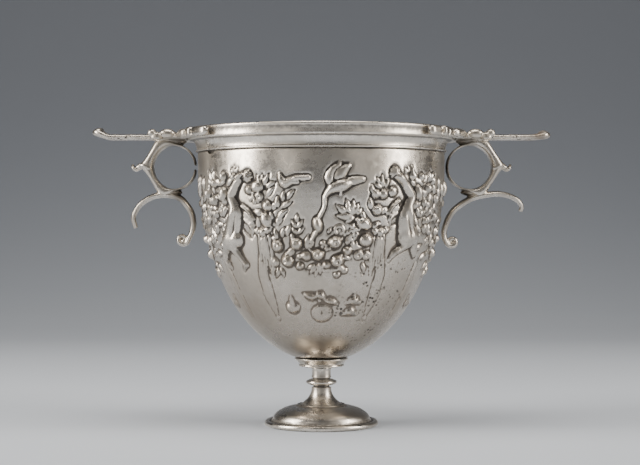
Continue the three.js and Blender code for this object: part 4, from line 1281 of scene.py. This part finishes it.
def handle_painted_shade(side):
    """Painted shade on a handle, nearly black: ring and rest where they face the bowl, and its joints, whose
    darkness is partly real solder and partly painted shade
    """
    x, z = RING_X * MM, RING_Z * MM
    spots = (
        (-0.001, 0.0115, 0.007), (-0.0115, 0.0, 0.0125), (-0.003, -0.0115, 0.007),
        (-0.0145, -0.019, 0.012), (0.0108, -0.0008, 0.0026), (0.0036, 0.0138, 0.0055),
    )
    return [((side * (x + dx), 0, z + dz), radius) for dx, dz, radius in spots]


def place_camera():
    """Camera at the photograph's place and angle"""
    camera = new_object("camera", bpy.data.cameras.new("camera"))
    camera.data.lens = CAMERA_LENS
    camera.data.sensor_width = 36
    camera.location = (CAMERA_SIDE, -CAMERA_DISTANCE, CAMERA_HEIGHT)
    camera.rotation_euler = (math.pi / 2 - CAMERA_PITCH, 0, 0)
    bpy.context.scene.camera = camera


def softbox(name, place, size, watts):
    """Rectangular lamp that looks at the cup"""
    lamp = bpy.data.lights.new(name, "AREA")
    lamp.shape = "RECTANGLE"
    lamp.size, lamp.size_y = size
    lamp.energy = watts
    lamp.color = LAMP_TINT
    light = new_object(name, lamp)
    light.location = place
    light.rotation_euler = (Vector(LAMP_TARGET) - Vector(place)).to_track_quat("-Z", "Y").to_euler()


def light_studio():
    """Tall soft boxes at both sides, one overhead, a faint one and two strips in front, and a dim room"""
    for name, (place, size, watts) in SOFTBOXES.items():
        softbox(name, place, size, watts)
    world = bpy.data.worlds.new("room")
    world.use_nodes = True
    room = world.node_tree.nodes["Background"].inputs
    room["Color"].default_value = ROOM_COLOUR
    room["Strength"].default_value = ROOM_STRENGTH
    bpy.context.scene.world = world


def lay_floor():
    """Pale sheet that runs back from the cup and curves up behind it, coloured with a painted pool of light
    round the cup and painted shade far off, at the sides and up the sweep
    """
    bend = 0.7
    back = 0.5
    run = [(-3.0, 0.0), (back, 0.0)]
    run += [(back + bend * math.sin(t), bend - bend * math.cos(t)) for t in np.linspace(0.1, math.pi / 2, 16)]
    run += [(back + bend, 2.6)]
    points = [(x, y, z) for y, z in run for x in (-2.5, 2.5)]
    faces = [(2 * i, 2 * i + 1, 2 * i + 3, 2 * i + 2) for i in range(len(run) - 1)]
    mesh = bpy.data.meshes.new("floor")
    mesh.from_pydata(points, [], faces)
    shade_smooth(mesh)
    floor = new_object("floor", mesh)
    painted_light_paper = bpy.data.materials.new("painted_light_paper")
    painted_light_paper.use_nodes = True
    nodes = Nodes(painted_light_paper.node_tree)
    place = nodes.add("ShaderNodeTexCoord").outputs["Object"]
    x, y, z = (nodes.part(place, axis) for axis in "XYZ")
    reach = nodes.math("SQRT", nodes.plus(nodes.math("POWER", x, 2.0), nodes.math("POWER", y, 2.0)))
    # Painted pool of light round the cup, fading to painted shade with distance, at the sides and up the
    # sweep
    painted_light = nodes.mix(nodes.ramp(reach, 0.0, 1.1), FLOOR_LIT_NEAR, FLOOR_SHADED_FAR)
    painted_light = nodes.mix(nodes.ramp(nodes.math("ABSOLUTE", x), 0.6, 1.3), painted_light, FLOOR_PAINTED_SHADE)
    painted_light = nodes.mix(nodes.times(nodes.ramp(z, 0.0, 0.5), 0.2), painted_light, FLOOR_PAINTED_SHADE)
    shader = painted_light_paper.node_tree.nodes["Principled BSDF"].inputs
    nodes.feed(shader["Base Color"], painted_light)
    nodes.feed(shader["Roughness"], 0.8)
    mesh.materials.append(painted_light_paper)


place_camera()
light_studio()
lay_floor()

casing = casing_piece()
liner = liner_piece()
foot = foot_piece()
right_shells = thumb_plate(0.9, RIGHT_BLOCKS) + finger_ring(broken=False) + spur()
right_shells += crescent(OPEN_CRESCENT, OPEN_CURL)
right = cast_piece("handle_right_cast", "handle_right", right_shells, 1)
left_shells = thumb_plate(2.0, LEFT_BLOCKS) + finger_ring(broken=True) + spur()
left_shells += crescent(BENT_CRESCENT, BENT_CURL)
left = cast_piece("handle_left_cast", "handle_left", left_shells, -1)

for turned in (liner, foot):
    store_recess(turned, 6, 0.3)
for cast in (right, left):
    store_recess(cast, 10, 0.4)

casing.data.materials.append(silver_material(
    "casing_silver", brightness=0.0, tarnish=1.0, dents=0.8, pitting=0.05,
    pit_spots=[((0.021, -0.035, 0.052), 0.022), ((0.034, -0.036, 0.064), 0.021),
               ((0.012, -0.03, 0.044), 0.017), ((0.017, -0.039, 0.060), 0.011)],
    stain_spots=[((0.028, -0.040, 0.046), 0.006)],
    # Painted shade near the handles and down the sides of the bowl
    painted_shade_spots=[((-0.057, -0.017, 0.111), 0.017), ((0.058, -0.016, 0.111), 0.017),
                ((-0.066, -0.038, 0.088), 0.034), ((0.066, -0.036, 0.088), 0.034),
                ((-0.0475, -0.0325, 0.0405), 0.036), ((0.049, -0.030, 0.041), 0.031)],
    browner_below=(0.04, 0.1)))
liner.data.materials.append(silver_material(
    "liner_silver", brightness=0.07, tarnish=0.8, dents=0.5, pitting=0.03))
foot.data.materials.append(silver_material(
    "foot_silver", brightness=0.0, tarnish=0.9, dents=0.25, pitting=0.0,
    # Painted shade in the grooves below and above the knop
    painted_shade_spots=[((0, 0, 0.0165), 0.0066), ((0, 0, 0.0203), 0.0062)]))
right.data.materials.append(silver_material(
    "right_silver", brightness=-0.04, tarnish=0.8, dents=0.6, pitting=0.1,
    pit_spots=[((0.085, 0, 0.122), 0.012)],
    stain_spots=[((0.09, 0, 0.122), 0.009)],
    painted_shade_spots=handle_painted_shade(1)))
left.data.materials.append(silver_material(
    "left_silver", brightness=-0.04, tarnish=0.8, dents=0.6, pitting=0.1,
    pit_spots=[((-0.083, 0, 0.122), 0.012)],
    painted_shade_spots=handle_painted_shade(-1)))
